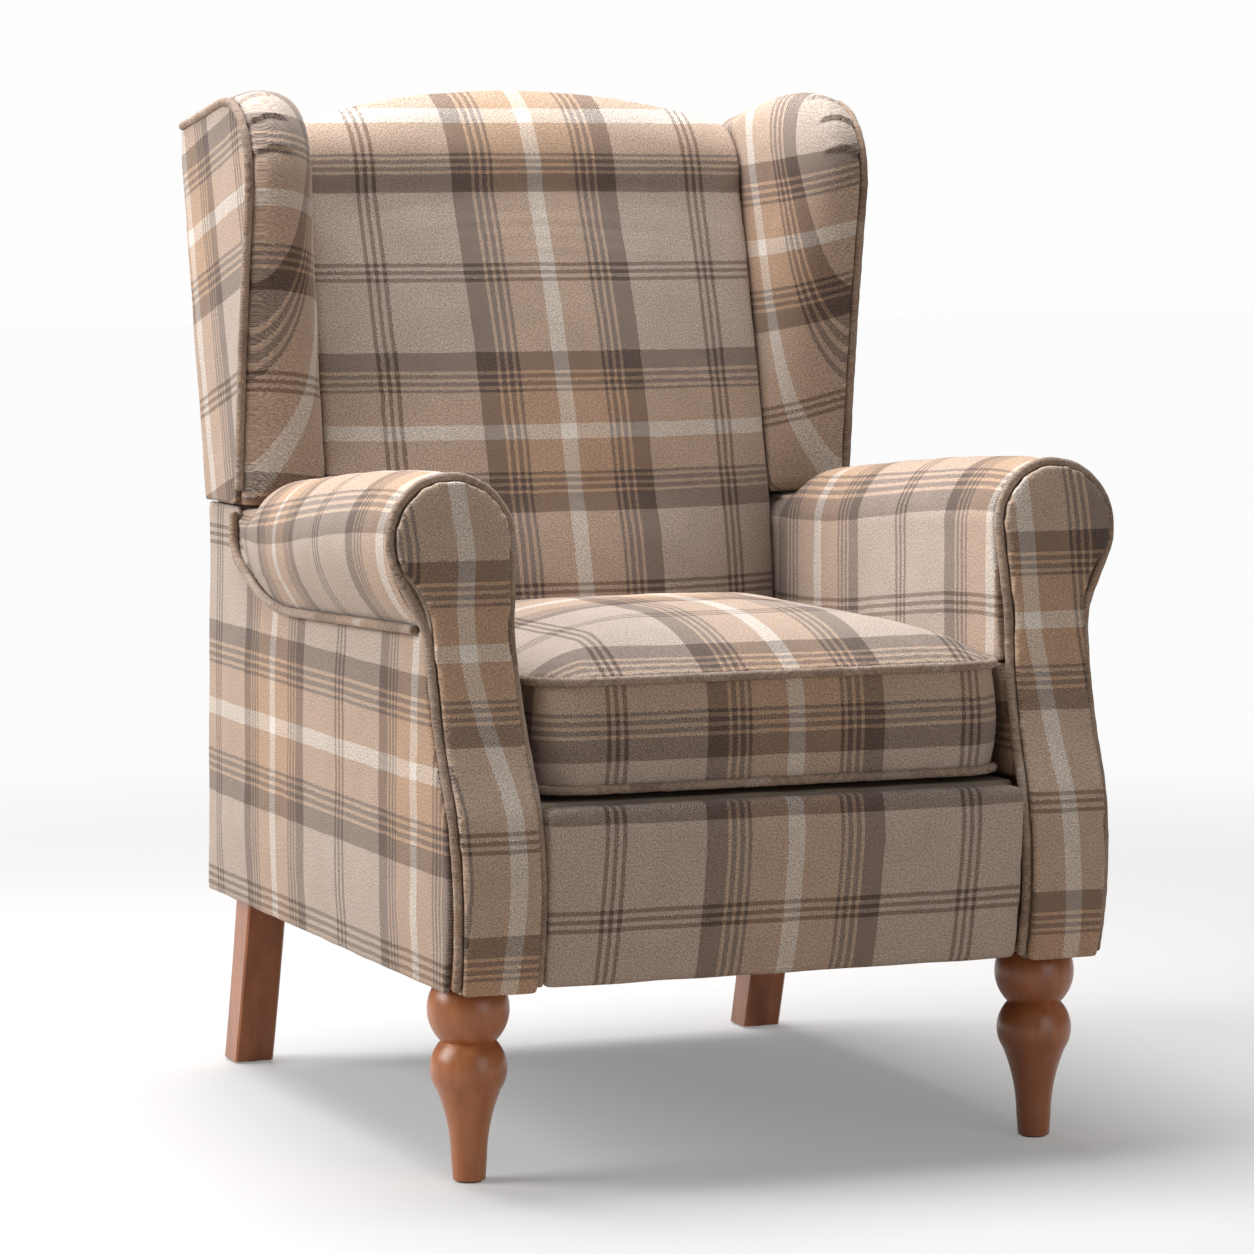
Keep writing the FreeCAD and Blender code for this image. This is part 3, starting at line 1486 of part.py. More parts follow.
def cushion_form(wall):
    """The crowned box form of the cushion, inside the cover's surface by a wall."""
    bottom = value("deck_top + soft_gap") + wall
    low, seam = value("cushion_low_seam"), value("cushion_seam")
    crown = value("cushion_crown") - wall
    bulge = value("cushion_bulge")
    border = Part.makeLoft(
        [
            cushion_outline(wall + 3, bottom),
            cushion_outline(wall - bulge / 2, low + (seam - low) / 4),
            cushion_outline(wall - bulge, (low + seam) / 2),
            cushion_outline(wall - bulge / 2, seam - (seam - low) / 4),
            cushion_outline(wall, seam),
        ],
        True,
        False,
    )
    rise = crown - seam
    top = Part.makeLoft(
        [
            cushion_outline(wall, seam),
            cushion_outline(wall + 40, seam + 0.52 * rise),
            cushion_outline(wall + 90, seam + 0.84 * rise),
            cushion_outline(wall + 160, crown),
        ],
        True,
        False,
    )
    return border.fuse(top).removeSplitter()


def build_cushion():
    """Cover with wadding, foam, piping, zip and slider of the loose cushion."""
    wall, gap = value("cushion_wrap"), value("soft_gap")
    foam = solid("cushion_foam", cushion_form(wall + gap))
    keep("cushion_foam", foam)
    outside, inside = solid("cover_outside", cushion_form(0)), solid("cover_inside", cushion_form(wall))

    radius, sunk = value("bead_radius"), value("bead_sunk")
    beads = []
    for name in ("cushion_low_seam", "cushion_seam"):
        path = Part.Wire(cushion_outline(sunk - radius, value(name)).Edges[:5])
        section = Part.Wire(Part.makeCircle(radius, path.OrderedVertexes[0].Point, Vector(1, 0, 0)))
        half_ring = path.makePipeShell([section], True, False)
        ring = half_ring.fuse(half_ring.mirror(Vector(0, 0, 0), Vector(1, 0, 0)))
        beads.append(solid(f"{name}_bead", ring))
    piping = keep("cushion_piping", group("bead_pair", *beads))
    keep("cushion_cover", cut("cushion_cover", outside, inside, piping))

    half, height = "zip_half_length", "zip_height"
    face = "(cushion_rear_setback + cushion_bulge + soft_gap)"
    tape_rear = f"({face} + zip_tape_thickness)"
    teeth_rear = f"({tape_rear} + zip_teeth_thickness)"
    tape = box(
        "zip_tape",
        f"0 - {half}",
        setback(face),
        f"{height} - zip_tape_width / 2",
        f"2 * {half}",
        "zip_tape_thickness",
        "zip_tape_width",
    )
    teeth = box(
        "zip_teeth",
        f"0 - {half}",
        setback(tape_rear),
        f"{height} - zip_teeth_width / 2",
        f"2 * {half}",
        "zip_teeth_thickness",
        "zip_teeth_width",
    )
    keep("cushion_zip", join("zip_strip", tape, teeth))

    slider_x = f"({half} - slider_start - slider_length)"
    groove = "(zip_teeth_width / 2 + soft_gap)"
    outside_edge = f"({groove} + slider_lip)"
    plate_front = f"({teeth_rear} + soft_gap)"
    plate_rear = f"({plate_front} + slider_plate)"
    lip_front = f"({tape_rear} + soft_gap)"
    slider = plate(
        "slider_body",
        "YZ_Plane",
        [
            (setback(lip_front), f"{height} - {outside_edge}"),
            (setback(plate_rear), f"{height} - {outside_edge}"),
            (setback(plate_rear), f"{height} + {outside_edge}"),
            (setback(lip_front), f"{height} + {outside_edge}"),
            (setback(lip_front), f"{height} + {groove}"),
            (setback(plate_front), f"{height} + {groove}"),
            (setback(plate_front), f"{height} - {groove}"),
            (setback(lip_front), f"{height} - {groove}"),
        ],
        slider_x,
        "slider_length",
    )
    tab = box(
        "slider_tab",
        f"{slider_x} + (slider_length - tab_width) / 2",
        setback(plate_rear),
        f"{height} - tab_length",
        "tab_width",
        "tab_thickness",
        "tab_length",
    )
    keep("zip_slider", join("zip_slider", slider, tab))


def main():
    """Builds every sub-part, checks them all and writes one STEP file for each."""
    build_arm_fronts()
    arm_board = build_seat_box()
    post = build_blocks_and_posts()
    hook_screws = build_brackets(post)
    build_arms(arm_board, post)
    build_base_covers()
    build_springs()
    build_legs()
    board, blocks = build_back_frame(hook_screws)
    build_back_covers(board, blocks)
    build_cushion()
    doc.recompute()
    failed = [item.Label for item in doc.Objects if {"Invalid", "Error"} & set(item.State)]
    failed += [name for name, item in nodes.items() if item.Shape.isNull() or not item.Shape.isValid()]
    if failed:
        raise RuntimeError("these did not build: " + ", ".join(sorted(set(failed))))
    os.makedirs("parts", exist_ok=True)
    for name, item in nodes.items():
        item.Shape.exportStep(f"parts/{name}.step")
        solids, box_of = item.Shape.Solids, item.Shape.BoundBox
        print(
            f"{name}: {len(solids)} solids, {item.Shape.Volume / 1000:.1f} cm3, "
            f"x {box_of.XMin:.1f} {box_of.XMax:.1f} y {box_of.YMin:.1f} {box_of.YMax:.1f} "
            f"z {box_of.ZMin:.1f} {box_of.ZMax:.1f}"
        )
    print(f"{len(nodes)} nodes")


main()
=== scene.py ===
"""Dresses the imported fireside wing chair: cloth, piping, wood, fittings, floor, light, camera."""

import json
import logging
import math
from collections.abc import Callable, Sequence
from dataclasses import dataclass, field
from enum import Enum

import bmesh
import bpy
import numpy as np
from mathutils import Matrix, Vector

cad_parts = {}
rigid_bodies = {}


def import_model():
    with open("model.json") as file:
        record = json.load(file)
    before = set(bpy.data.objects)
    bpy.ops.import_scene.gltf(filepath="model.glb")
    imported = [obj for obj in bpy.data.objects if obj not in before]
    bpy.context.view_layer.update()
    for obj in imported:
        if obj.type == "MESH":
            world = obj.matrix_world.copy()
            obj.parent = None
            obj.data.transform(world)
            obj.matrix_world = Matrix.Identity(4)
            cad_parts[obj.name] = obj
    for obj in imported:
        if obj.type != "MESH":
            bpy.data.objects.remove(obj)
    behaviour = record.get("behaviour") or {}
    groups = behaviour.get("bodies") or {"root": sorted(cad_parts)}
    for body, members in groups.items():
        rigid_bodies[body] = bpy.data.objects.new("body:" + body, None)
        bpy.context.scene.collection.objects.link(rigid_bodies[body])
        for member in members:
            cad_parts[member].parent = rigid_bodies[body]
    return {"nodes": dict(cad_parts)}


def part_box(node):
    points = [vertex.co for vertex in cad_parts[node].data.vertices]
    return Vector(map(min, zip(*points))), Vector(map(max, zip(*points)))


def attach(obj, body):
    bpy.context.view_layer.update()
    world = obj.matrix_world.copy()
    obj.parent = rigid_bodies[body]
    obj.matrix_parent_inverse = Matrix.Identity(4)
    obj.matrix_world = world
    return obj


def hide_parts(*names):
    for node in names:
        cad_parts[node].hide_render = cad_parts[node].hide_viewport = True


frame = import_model()

LOG = logging.getLogger("chair")
FRONT = -0.407  # the plane of the arm fronts in Y
REPEAT = 0.365  # one repeat of the check
ROLL_ACROSS = 0.3115  # the middle of the right arm's roll in X
ROLL_HEIGHT = 0.6045  # and in Z, at the front
SIDES = (("right", 1.0), ("left", -1.0))
FLAT = {"fill": 0.2, "smooth": 1, "levels": 0}  # covers that lie flat on a board
STEPS = 20  # of the cloth simulation
CLOTH = {
    "quality": 3,
    "mass": 0.3,
    "tension_stiffness": 18,
    "compression_stiffness": 18,
    "shear_stiffness": 6,
    "bending_stiffness": 0.6,
    "use_pressure": True,
    "uniform_pressure_force": 4,
    "vertex_group_mass": "seams",
}

Points = np.ndarray
Knots = tuple[tuple[float, float], ...]
Held = Callable[[Points, Points], np.ndarray]
Carve = Callable[[Points, Points], np.ndarray]
Lay = Callable[[Points, Points], np.ndarray]
Form = Callable[[Points], Points]


# ---------------------------------------------------------------- node graphs


class Socket:
    """One value in a node graph, which Python's arithmetic extends with Math nodes."""

    def __init__(self, graph: "Graph", link: bpy.types.NodeSocket) -> None:
        """Keeps the graph and the output socket that carries the value."""
        self.graph = graph
        self.link = link

    def maths(self, operation: str, *values: "Socket | float") -> "Socket":
        """Adds one Math node.

        Args:
            operation: the Math node's operation.
            values: its inputs in order.

        Returns:
            The node's result.
        """
        return self.graph.add("ShaderNodeMath", {"operation": operation}, *values)

    def __add__(self, other: "Socket | float") -> "Socket":
        """The sum."""
        return self.maths("ADD", self, other)

    def __sub__(self, other: "Socket | float") -> "Socket":
        """The difference."""
        return self.maths("SUBTRACT", self, other)

    def __rsub__(self, other: float) -> "Socket":
        """The difference from a number."""
        return self.maths("SUBTRACT", other, self)

    def __mul__(self, other: "Socket | float") -> "Socket":
        """The product."""
        return self.maths("MULTIPLY", self, other)

    def __truediv__(self, other: "Socket | float") -> "Socket":
        """The quotient."""
        return self.maths("DIVIDE", self, other)

    __radd__ = __add__
    __rmul__ = __mul__

    def fold(self, span: float) -> "Socket":
        """The value folded to and fro between 0 and span."""
        return self.maths("PINGPONG", self, span)

    def sine(self) -> "Socket":
        """The sine."""
        return self.maths("SINE", self)

    def ease(self, low: float, high: float) -> "Socket":
        """A smooth 0 to 1 as the value goes from low to high."""
        settings = {"interpolation_type": "SMOOTHSTEP"}
        return self.graph.add("ShaderNodeMapRange", settings, self, low, high, 0.0, 1.0)


class Graph:
    """The nodes of one material, ending in a Principled surface."""

    def __init__(self, name: str) -> None:
        """Starts an empty material of that name.

        Args:
            name: its name.
        """
        self.material = bpy.data.materials.new(name)
        self.material.use_nodes = True
        self.tree = self.material.node_tree
        self.tree.nodes.clear()
        self.coordinates = None

    def add(
        self,
        kind: str,
        settings: dict | None = None,
        *values: "Socket | float | Sequence[float] | None",
        output: int | str = 0,
        **named: "Socket | float | Sequence[float]",
    ) -> Socket:
        """Adds one node.

        Args:
            kind: the node's type.
            settings: its properties, set first; "stops" are a ramp's places and colours.
            values: its inputs in order, where None leaves one alone.
            output: which output is wanted.
            named: inputs by name, with _ for a space.

        Returns:
            The output that was asked for.
        """
        node = self.tree.nodes.new(kind)
        for key, value in (settings or {}).items():
            if key == "stops":
                self._set_stops(node.color_ramp, value)
            elif key == "ramp":
                node.color_ramp.interpolation = value
            else:
                setattr(node, key, value)
        places = list(enumerate(values))
        places += [(name.replace("_", " "), value) for name, value in named.items()]
        for place, value in places:
            if isinstance(value, Socket):
                self.tree.links.new(value.link, node.inputs[place])
            elif value is not None:
                node.inputs[place].default_value = value
        return Socket(self, node.outputs[output] if node.outputs else None)

    @staticmethod
    def _set_stops(ramp: bpy.types.ColorRamp, stops: Sequence[tuple[float, Sequence[float]]]) -> None:
        """Gives a ramp its places and colours.

        Args:
            ramp: the ramp.
            stops: pairs of a place from 0 to 1 and a colour.
        """
        while len(ramp.elements) < len(stops):
            ramp.elements.new(1.0)
        for element, (place, colour) in zip(ramp.elements, stops):
            element.position = place
            element.color = (*colour, 1.0)

    def ramp(self, value: Socket, stops: Sequence[tuple[float, Sequence[float]]], kind: str) -> Socket:
        """A colour for a value from 0 to 1."""
        return self.add("ShaderNodeValToRGB", {"ramp": kind, "stops": stops}, value)

    def blend(
        self,
        factor: Socket | float,
        first: Socket | Sequence,
        second: Socket | Sequence,
        kind: str = "MIX",
    ) -> Socket:
        """Two colours mixed by a factor.

        Args:
            factor: 0 for the first, 1 for the second.
            first: a colour.
            second: a colour.
            kind: the way of mixing.

        Returns:
            The mixed colour.
        """
        settings = {"data_type": "RGBA", "blend_type": kind}
        values = [factor, None, None, None, None, None, first, second]
        values = [(*v, 1.0) if isinstance(v, tuple) and len(v) == 3 else v for v in values]
        return self.add("ShaderNodeMix", settings, *values, output=2)

    def objects(self) -> Socket:
        """Object coordinates.

        Returns:
            The coordinates.
        """
        if self.coordinates is None:
            self.coordinates = self.add("ShaderNodeTexCoord", output="Object")
        return self.coordinates

    def noise(
        self,
        scale: float,
        detail: float = 2.0,
        vector: Socket | None = None,
        stretch: Sequence[float] | None = None,
    ) -> Socket:
        """Soft noise from 0 to 1.

        Args:
            scale: features per metre.
            detail: octaves.
            vector: coordinates, or None for Object ones.
            stretch: factors on the three axes.

        Returns:
            The noise.
        """
        vector = vector or self.objects()
        if stretch is not None:
            vector = self.add("ShaderNodeMapping", {}, vector, Scale=stretch)
        return self.add("ShaderNodeTexNoise", {"noise_dimensions": "3D"}, vector, None, scale, detail)

    def shade(self, value: Socket, amount: float) -> Socket:
        """A grey near 1 that follows noise, to multiply a colour by."""
        level = (value - 0.5) * (2.0 * amount) + 1.0
        return self.add("ShaderNodeCombineXYZ", {}, level, level, level)

    def parts(self, vector: Socket) -> list[Socket]:
        """The three numbers of a vector.

        Args:
            vector: the vector.

        Returns:
            The numbers x, y and z.
        """
        node = self.tree.nodes.new("ShaderNodeSeparateXYZ")
        self.tree.links.new(vector.link, node.inputs[0])
        return [Socket(self, output) for output in node.outputs]

    def clouded(self, cloud: Socket, colour: Sequence[int], share: float) -> Socket:
        """A colour that noise darkens towards a share of itself."""
        return self.blend(cloud, linear(colour), linear([int(c * share) for c in colour]))

    def surface(
        self,
        colour: Socket,
        roughness: Socket | float,
        height: Socket | None = None,
        depth: float = 0.0002,
        strength: float = 0.5,
        **fixed: float | Sequence[float],
    ) -> bpy.types.Material:
        """Ends the graph in a Principled surface.

        Args:
            colour: the base colour.
            roughness: the roughness.
            height: relief for the bump, from 0 to 1.
            depth: its depth in metres.
            strength: how strongly it shows.
            fixed: numbers for other sockets, with _ for a space.

        Returns:
            The material.
        """
        if height is not None:
            fixed["Normal"] = self.add(
                "ShaderNodeBump", {}, Strength=strength, Distance=depth, Height=height
            )
        shader = self.add(
            "ShaderNodeBsdfPrincipled", {}, Base_Color=colour, Roughness=roughness, **fixed
        )
        self.add("ShaderNodeOutputMaterial", {}, shader)
        return self.material


def linear(colour: Sequence[int]) -> tuple[float, float, float]:
    """A colour of 0 to 255 a channel, as the shaders' linear values."""
    shares = [value / 255 for value in colour]
    return tuple(s / 12.92 if s <= 0.04045 else ((s + 0.055) / 1.055) ** 2.4 for s in shares)


# ------------------------------------------------------------------- finishes


class Yarn(Enum):
    """The four yarns of the check, as colours of 0 to 255."""

    WHITE = (226, 219, 211)
    TAN = (180, 151, 127)
    DARK = (94, 80, 73)
    TAUPE = (182, 167, 156)


@dataclass(frozen=True)
class CheckCloth:
    """Brushed woollen check: the same order of yarns both ways, mirrored about its white stripe."""

    name: str = "plaid_cloth"
    herringbone: float = 0.0029
    rib: float = 0.0115
    thread: float = 560.0
    plain: float = 0.0
    plain_colour: tuple[int, int, int] = (150, 130, 115)
    order: tuple[tuple[float, Yarn], ...] = (
        (0.0, Yarn.WHITE),
        (8.0, Yarn.TAN),
        (45.5, Yarn.DARK),
        (49.0, Yarn.TAN),
        (52.5, Yarn.DARK),
        (57.5, Yarn.TAN),
        (61.0, Yarn.DARK),
        (66.0, Yarn.TAN),
        (69.5, Yarn.DARK),
        (91.0, Yarn.TAUPE),
        (171.5, Yarn.DARK),
        (175.5, Yarn.TAUPE),
        (180.0, Yarn.DARK),
    )

    def material(self) -> bpy.types.Material:
        """Builds the cloth.

        Returns:
            A material that reads the panel's "cloth" map, in metres.
        """
        graph = Graph(self.name)
        flat = graph.add("ShaderNodeUVMap", {"uv_map": "cloth"})
        across, along, _ = graph.parts(flat)
        fray = (graph.noise(self.thread, 2.0, flat) - 0.5) * 0.0028
        fray = fray + (graph.noise(14.0, 2.0, flat) - 0.5) * 0.003
        across = across + fray
        along = along + fray
        half = REPEAT / 2
        stops = [
            (distance / 1000 / half, tuple(math.sqrt(c) for c in linear(yarn.value)))
            for distance, yarn in self.order
        ]
        warp = graph.ramp(across.fold(half) / half, stops, "CONSTANT")
        weft = graph.ramp(along.fold(half) / half, stops, "CONSTANT")
        mean = graph.blend(1.0, warp, weft, "MULTIPLY")
        over = (across.fold(self.rib) + along) * (2 * math.pi / self.herringbone)
        over = over.sine() * 0.5 + 0.5
        pure = [graph.blend(1.0, thread, thread, "MULTIPLY") for thread in (weft, warp)]
        shown = graph.blend(over, *pure)
        colour = graph.blend(0.42, mean, shown)
        if self.plain:
            colour = graph.blend(self.plain, colour, linear(self.plain_colour))
        fuzz = graph.noise(self.thread, 2.0, flat)
        colour = graph.blend(1.0, colour, graph.shade(fuzz, 0.95), "MULTIPLY")
        colour = graph.blend(1.0, colour, graph.shade(graph.noise(34.0, 3.0, flat), 0.09), "MULTIPLY")
        height = over * 0.45 + fuzz * 0.55
        roughness = graph.noise(200.0, 2.0, flat) * 0.12 + 0.84
        return graph.surface(
            colour, roughness, height, 0.0006, 0.55,
            Sheen_Weight=0.22, Sheen_Roughness=0.45, Sheen_Tint=(0.95, 0.9, 0.86, 1.0),
            Specular_IOR_Level=0.25,
        )


@dataclass(frozen=True)
class Timber:
    """Wood with its grain along one axis."""

    name: str
    dark: tuple[int, int, int]
    middle: tuple[int, int, int]
    light: tuple[int, int, int]
    roughness: float = 0.6
    varnish: float = 0.0
    stretch: tuple[float, float, float] = (1.0, 1.0, 0.06)

    def material(self) -> bpy.types.Material:
        """Builds the wood.

        Returns:
            A material on Object coordinates.
        """
        graph = Graph(self.name)
        wander = graph.noise(9.0, 3.0, stretch=self.stretch)
        rings = graph.noise(70.0, 4.0, stretch=self.stretch)
        x, y, z = self.stretch
        pores = graph.noise(900.0, 2.0, stretch=(x, y, z * 0.7))
        value = wander * 0.55 + rings * 0.45
        stops = [(0.3, linear(self.dark)), (0.5, linear(self.middle)), (0.68, linear(self.light))]
        colour = graph.ramp(value, stops, "LINEAR")
        colour = graph.blend(1.0, colour, graph.shade(pores, 0.16), "MULTIPLY")
        roughness = rings * 0.12 + (self.roughness - 0.06)
        return graph.surface(
            colour, roughness, pores, 0.0002, 0.18, Coat_Weight=self.varnish, Coat_Roughness=0.28,
            Specular_IOR_Level=0.45,
        )


@dataclass(frozen=True)
class Plywood:
    """Thin layers of wood, seen on its edges."""

    name: str = "board"

    def material(self) -> bpy.types.Material:
        """Builds the plywood on Object coordinates.

        Returns:
            The material.
        """
        graph = Graph(self.name)
        grain = graph.noise(60.0, 4.0, stretch=(1.0, 1.0, 0.05))
        layers = graph.noise(420.0, 1.0, stretch=(0.2, 1.0, 0.05))
        colour = graph.ramp(
            grain * 0.6 + layers * 0.4,
            [(0.3, linear((150, 112, 74))), (0.7, linear((206, 172, 128)))],
            "LINEAR",
        )
        return graph.surface(colour, grain * 0.1 + 0.6, layers, 0.0003, 0.3)


@dataclass(frozen=True)
class Metal:
    """Plated or brushed metal with a fine drawn texture."""

    name: str
    colour: tuple[int, int, int]
    roughness: float = 0.32

    def material(self) -> bpy.types.Material:
        """Builds the metal on Object coordinates.

        Returns:
            The material.
        """
        graph = Graph(self.name)
        drawn = graph.noise(1400.0, 2.0, stretch=(1.0, 1.0, 0.1))
        cloud = graph.noise(90.0, 3.0)
        colour = graph.clouded(cloud, self.colour, 0.86)
        return graph.surface(colour, drawn * 0.16 + self.roughness, drawn, 0.00005, 0.3, Metallic=1.0)


@dataclass(frozen=True)
class WovenCloth:
    """Plain woven cloth, webbing or tape with its threads crossing at a pitch."""

    name: str
    colour: tuple[int, int, int]
    pitch: float = 0.0011
    contrast: float = 0.35
    roughness: float = 0.9

    def material(self) -> bpy.types.Material:
        """Builds the cloth on Object coordinates.

        Returns:
            The material.
        """
        graph = Graph(self.name)
        turn = 2 * math.pi / self.pitch
        waves = [(part * turn).sine() for part in graph.parts(graph.objects())]
        weave = (waves[0] * waves[1] + waves[1] * waves[2] + waves[0] * waves[2]) * 0.25 + 0.5
        cloud = graph.noise(45.0, 3.0)
        colour = graph.clouded(cloud, self.colour, 0.8)
        colour = graph.blend(1.0, colour, graph.shade(weave, self.contrast), "MULTIPLY")
        return graph.surface(colour, cloud * 0.08 + self.roughness - 0.04, weave, 0.0003, 0.4)


@dataclass(frozen=True)
class Moulded:
    """Plastic or foam with a fine even grain."""

    name: str
    colour: tuple[int, int, int]
    grain: float = 1500.0
    depth: float = 0.00006
    roughness: float = 0.5

    def material(self) -> bpy.types.Material:
        """Builds the plastic or foam on Object coordinates.

        Returns:
            The material.
        """
        graph = Graph(self.name)
        speck = graph.noise(self.grain, 2.0)
        cloud = graph.noise(25.0, 2.0)
        colour = graph.clouded(cloud, self.colour, 0.92)
        colour = graph.blend(1.0, colour, graph.shade(speck, 0.12), "MULTIPLY")
        return graph.surface(colour, speck * 0.1 + self.roughness, speck, self.depth, 0.5)


@dataclass(frozen=True)
class Finishes:
    """Every material of the chair, by the name of its slot."""

    made: dict[str, bpy.types.Material] = field(default_factory=dict)

    def build(self) -> None:
        """Makes the materials once."""
        steel = Metal("zinc_steel", (190, 190, 188))
        kinds = {
            "plaid_fabric": CheckCloth(),
            "plaid_piping": CheckCloth("plaid_bias", rib=0.02, plain=0.7),
            "leg_wood": Timber("leg_wood", (122, 66, 34), (164, 98, 56), (188, 122, 76), 0.36, 0.35),
            "frame_timber": Timber(
                "frame_timber", (170, 128, 84), (200, 160, 112), (216, 182, 138), 0.7
            ),
            "frame_board": Plywood(),
            "zinc_steel": steel,
            "black_cloth": WovenCloth("black_cloth", (44, 42, 42), 0.0014, 0.5),
            "lining_cloth": WovenCloth("lining_cloth", (172, 156, 138), 0.0012, 0.25),
            "elastic_webbing": WovenCloth("elastic_webbing", (84, 76, 68), 0.0024, 0.45),
            "clip_nylon": Moulded("clip_nylon", (225, 220, 208)),
            "glide_nylon": Moulded("glide_nylon", (96, 70, 50), roughness=0.45),
            "foam": Moulded("foam", (226, 214, 176), 700.0, 0.0004, 0.85),
            "zip_tape": WovenCloth("zip_tape", (118, 100, 86), 0.0009, 0.4),
            "zip_metal": Metal("zip_metal", (176, 156, 122), 0.3),
        }
        for slot, kind in kinds.items():
            self.made[slot] = kind.material()


FINISHES = Finishes()


# --------------------------------------------------------------- mesh working


def vectors(mesh: bpy.types.Mesh, normals: bool = False) -> Points:
    """A mesh's points or its point normals as rows.

    Args:
        mesh: the mesh.
        normals: whether the normals are wanted.

    Returns:
        The rows.
    """
    data = mesh.vertex_normals if normals else mesh.vertices
    out = np.empty(len(data) * 3, np.float32)
    data.foreach_get("vector" if normals else "co", out)
    return out.reshape(-1, 3).astype(float)


def place_points(mesh: bpy.types.Mesh, points: Points) -> None:
    """Moves a mesh's points."""
    mesh.vertices.foreach_set("co", points.astype(np.float32).ravel())
    mesh.update()


def settle(obj: bpy.types.Object) -> None:
    """Turns an object's modifiers into plain mesh.

    Args:
        obj: the object.
    """
    graph = bpy.context.evaluated_depsgraph_get()
    graph.update()
    mesh = bpy.data.meshes.new_from_object(obj.evaluated_get(graph))
    obj.modifiers.clear()
    old = obj.data
    obj.data = mesh
    bpy.data.meshes.remove(old)


def new_piece(name: str, mesh: bpy.types.Mesh) -> bpy.types.Object:
    """An object at the origin that shows a mesh.

    Args:
        name: its name.
        mesh: the mesh.

    Returns:
        The object.
    """
    piece = bpy.data.objects.new(name, mesh)
    bpy.context.scene.collection.objects.link(piece)
    return piece


def joined_copy(name: str, nodes: Sequence[str], side: float = 0.0) -> bpy.types.Object:
    """A copy of CAD nodes' meshes as one object, with doubled points merged.

    Args:
        name: the object's name.
        nodes: the nodes to copy.
        side: 1 or -1 keeps only what lies on that side of the middle, 0 keeps all.

    Returns:
        The new object.
    """
    work = bmesh.new()
    for node in nodes:
        work.from_mesh(frame["nodes"][node].data)
    if side:
        other = [vert for vert in work.verts if vert.co.x * side < 0]
        bmesh.ops.delete(work, geom=other, context="VERTS")
    bmesh.ops.remove_doubles(work, verts=work.verts, dist=0.00002)
    mesh = bpy.data.meshes.new(name)
    work.to_mesh(mesh)
    work.free()
    return new_piece(name, mesh)


def even_mesh(piece: bpy.types.Object, voxel: float, passes: int) -> None:
    """Remeshes a piece evenly and smooths it.

    Args:
        piece: the piece.
        voxel: the size of its new faces.
        passes: how many times it is smoothed.
    """
    remesh = piece.modifiers.new("even", "REMESH")
    remesh.mode = "VOXEL"
    remesh.voxel_size = voxel
    soften = piece.modifiers.new("ease", "SMOOTH")
    soften.factor = 0.5
    soften.iterations = passes
    settle(piece)


def uneven(points: Points, amount: float, length: float = 0.09) -> np.ndarray:
    """Gentle unevenness, the same on every run.

    Args:
        points: where it is wanted.
        amount: its height in metres.
        length: how long its waves are.

    Returns:
        A height for each point.
    """
    turns = np.array(
        [(1.0, 0.3, 0.7), (-0.5, 1.1, 0.4), (0.6, -0.8, 1.2), (1.3, 0.9, -0.6), (0.2, 1.7, 1.5)]
    )
    waves = np.sin(points @ turns.T * (2 * math.pi / length) + np.array([0.4, 1.9, 3.1, 4.4, 5.2]))
    return waves @ np.array([0.3, 0.25, 0.2, 0.15, 0.1]) * amount


def ease(values: np.ndarray, low: float, high: float) -> np.ndarray:
    """A smooth 0 to 1 as values go from low to high."""
    share = np.clip((values - low) / (high - low), 0, 1)
    return share * share * (3 - 2 * share)


def spread(places: np.ndarray, knots: Sequence[tuple[float, float]]) -> np.ndarray:
    """Where places on a panel fall in the check.

    Args:
        places: distances on the panel.
        knots: pairs of a place on the panel and its place in the check, at least two.

    Returns:
        Places in the check, carried on straight past the last knots.
    """
    pairs = sorted(knots)
    spots = np.array([p for p, _ in pairs])
    checks = np.array([c for _, c in pairs])
    out = np.interp(places, spots, checks)
    first = (checks[1] - checks[0]) / (spots[1] - spots[0])
    last = (checks[-1] - checks[-2]) / (spots[-1] - spots[-2])
    out = np.where(places < spots[0], checks[0] + (places - spots[0]) * first, out)
    return np.where(places > spots[-1], checks[-1] + (places - spots[-1]) * last, out)


def even(white: float, scale: float = 1.0) -> Knots:
    """Knots for a check of even scale with a white stripe at one place."""
    return ((white, 0.0), (white + REPEAT * scale, REPEAT))


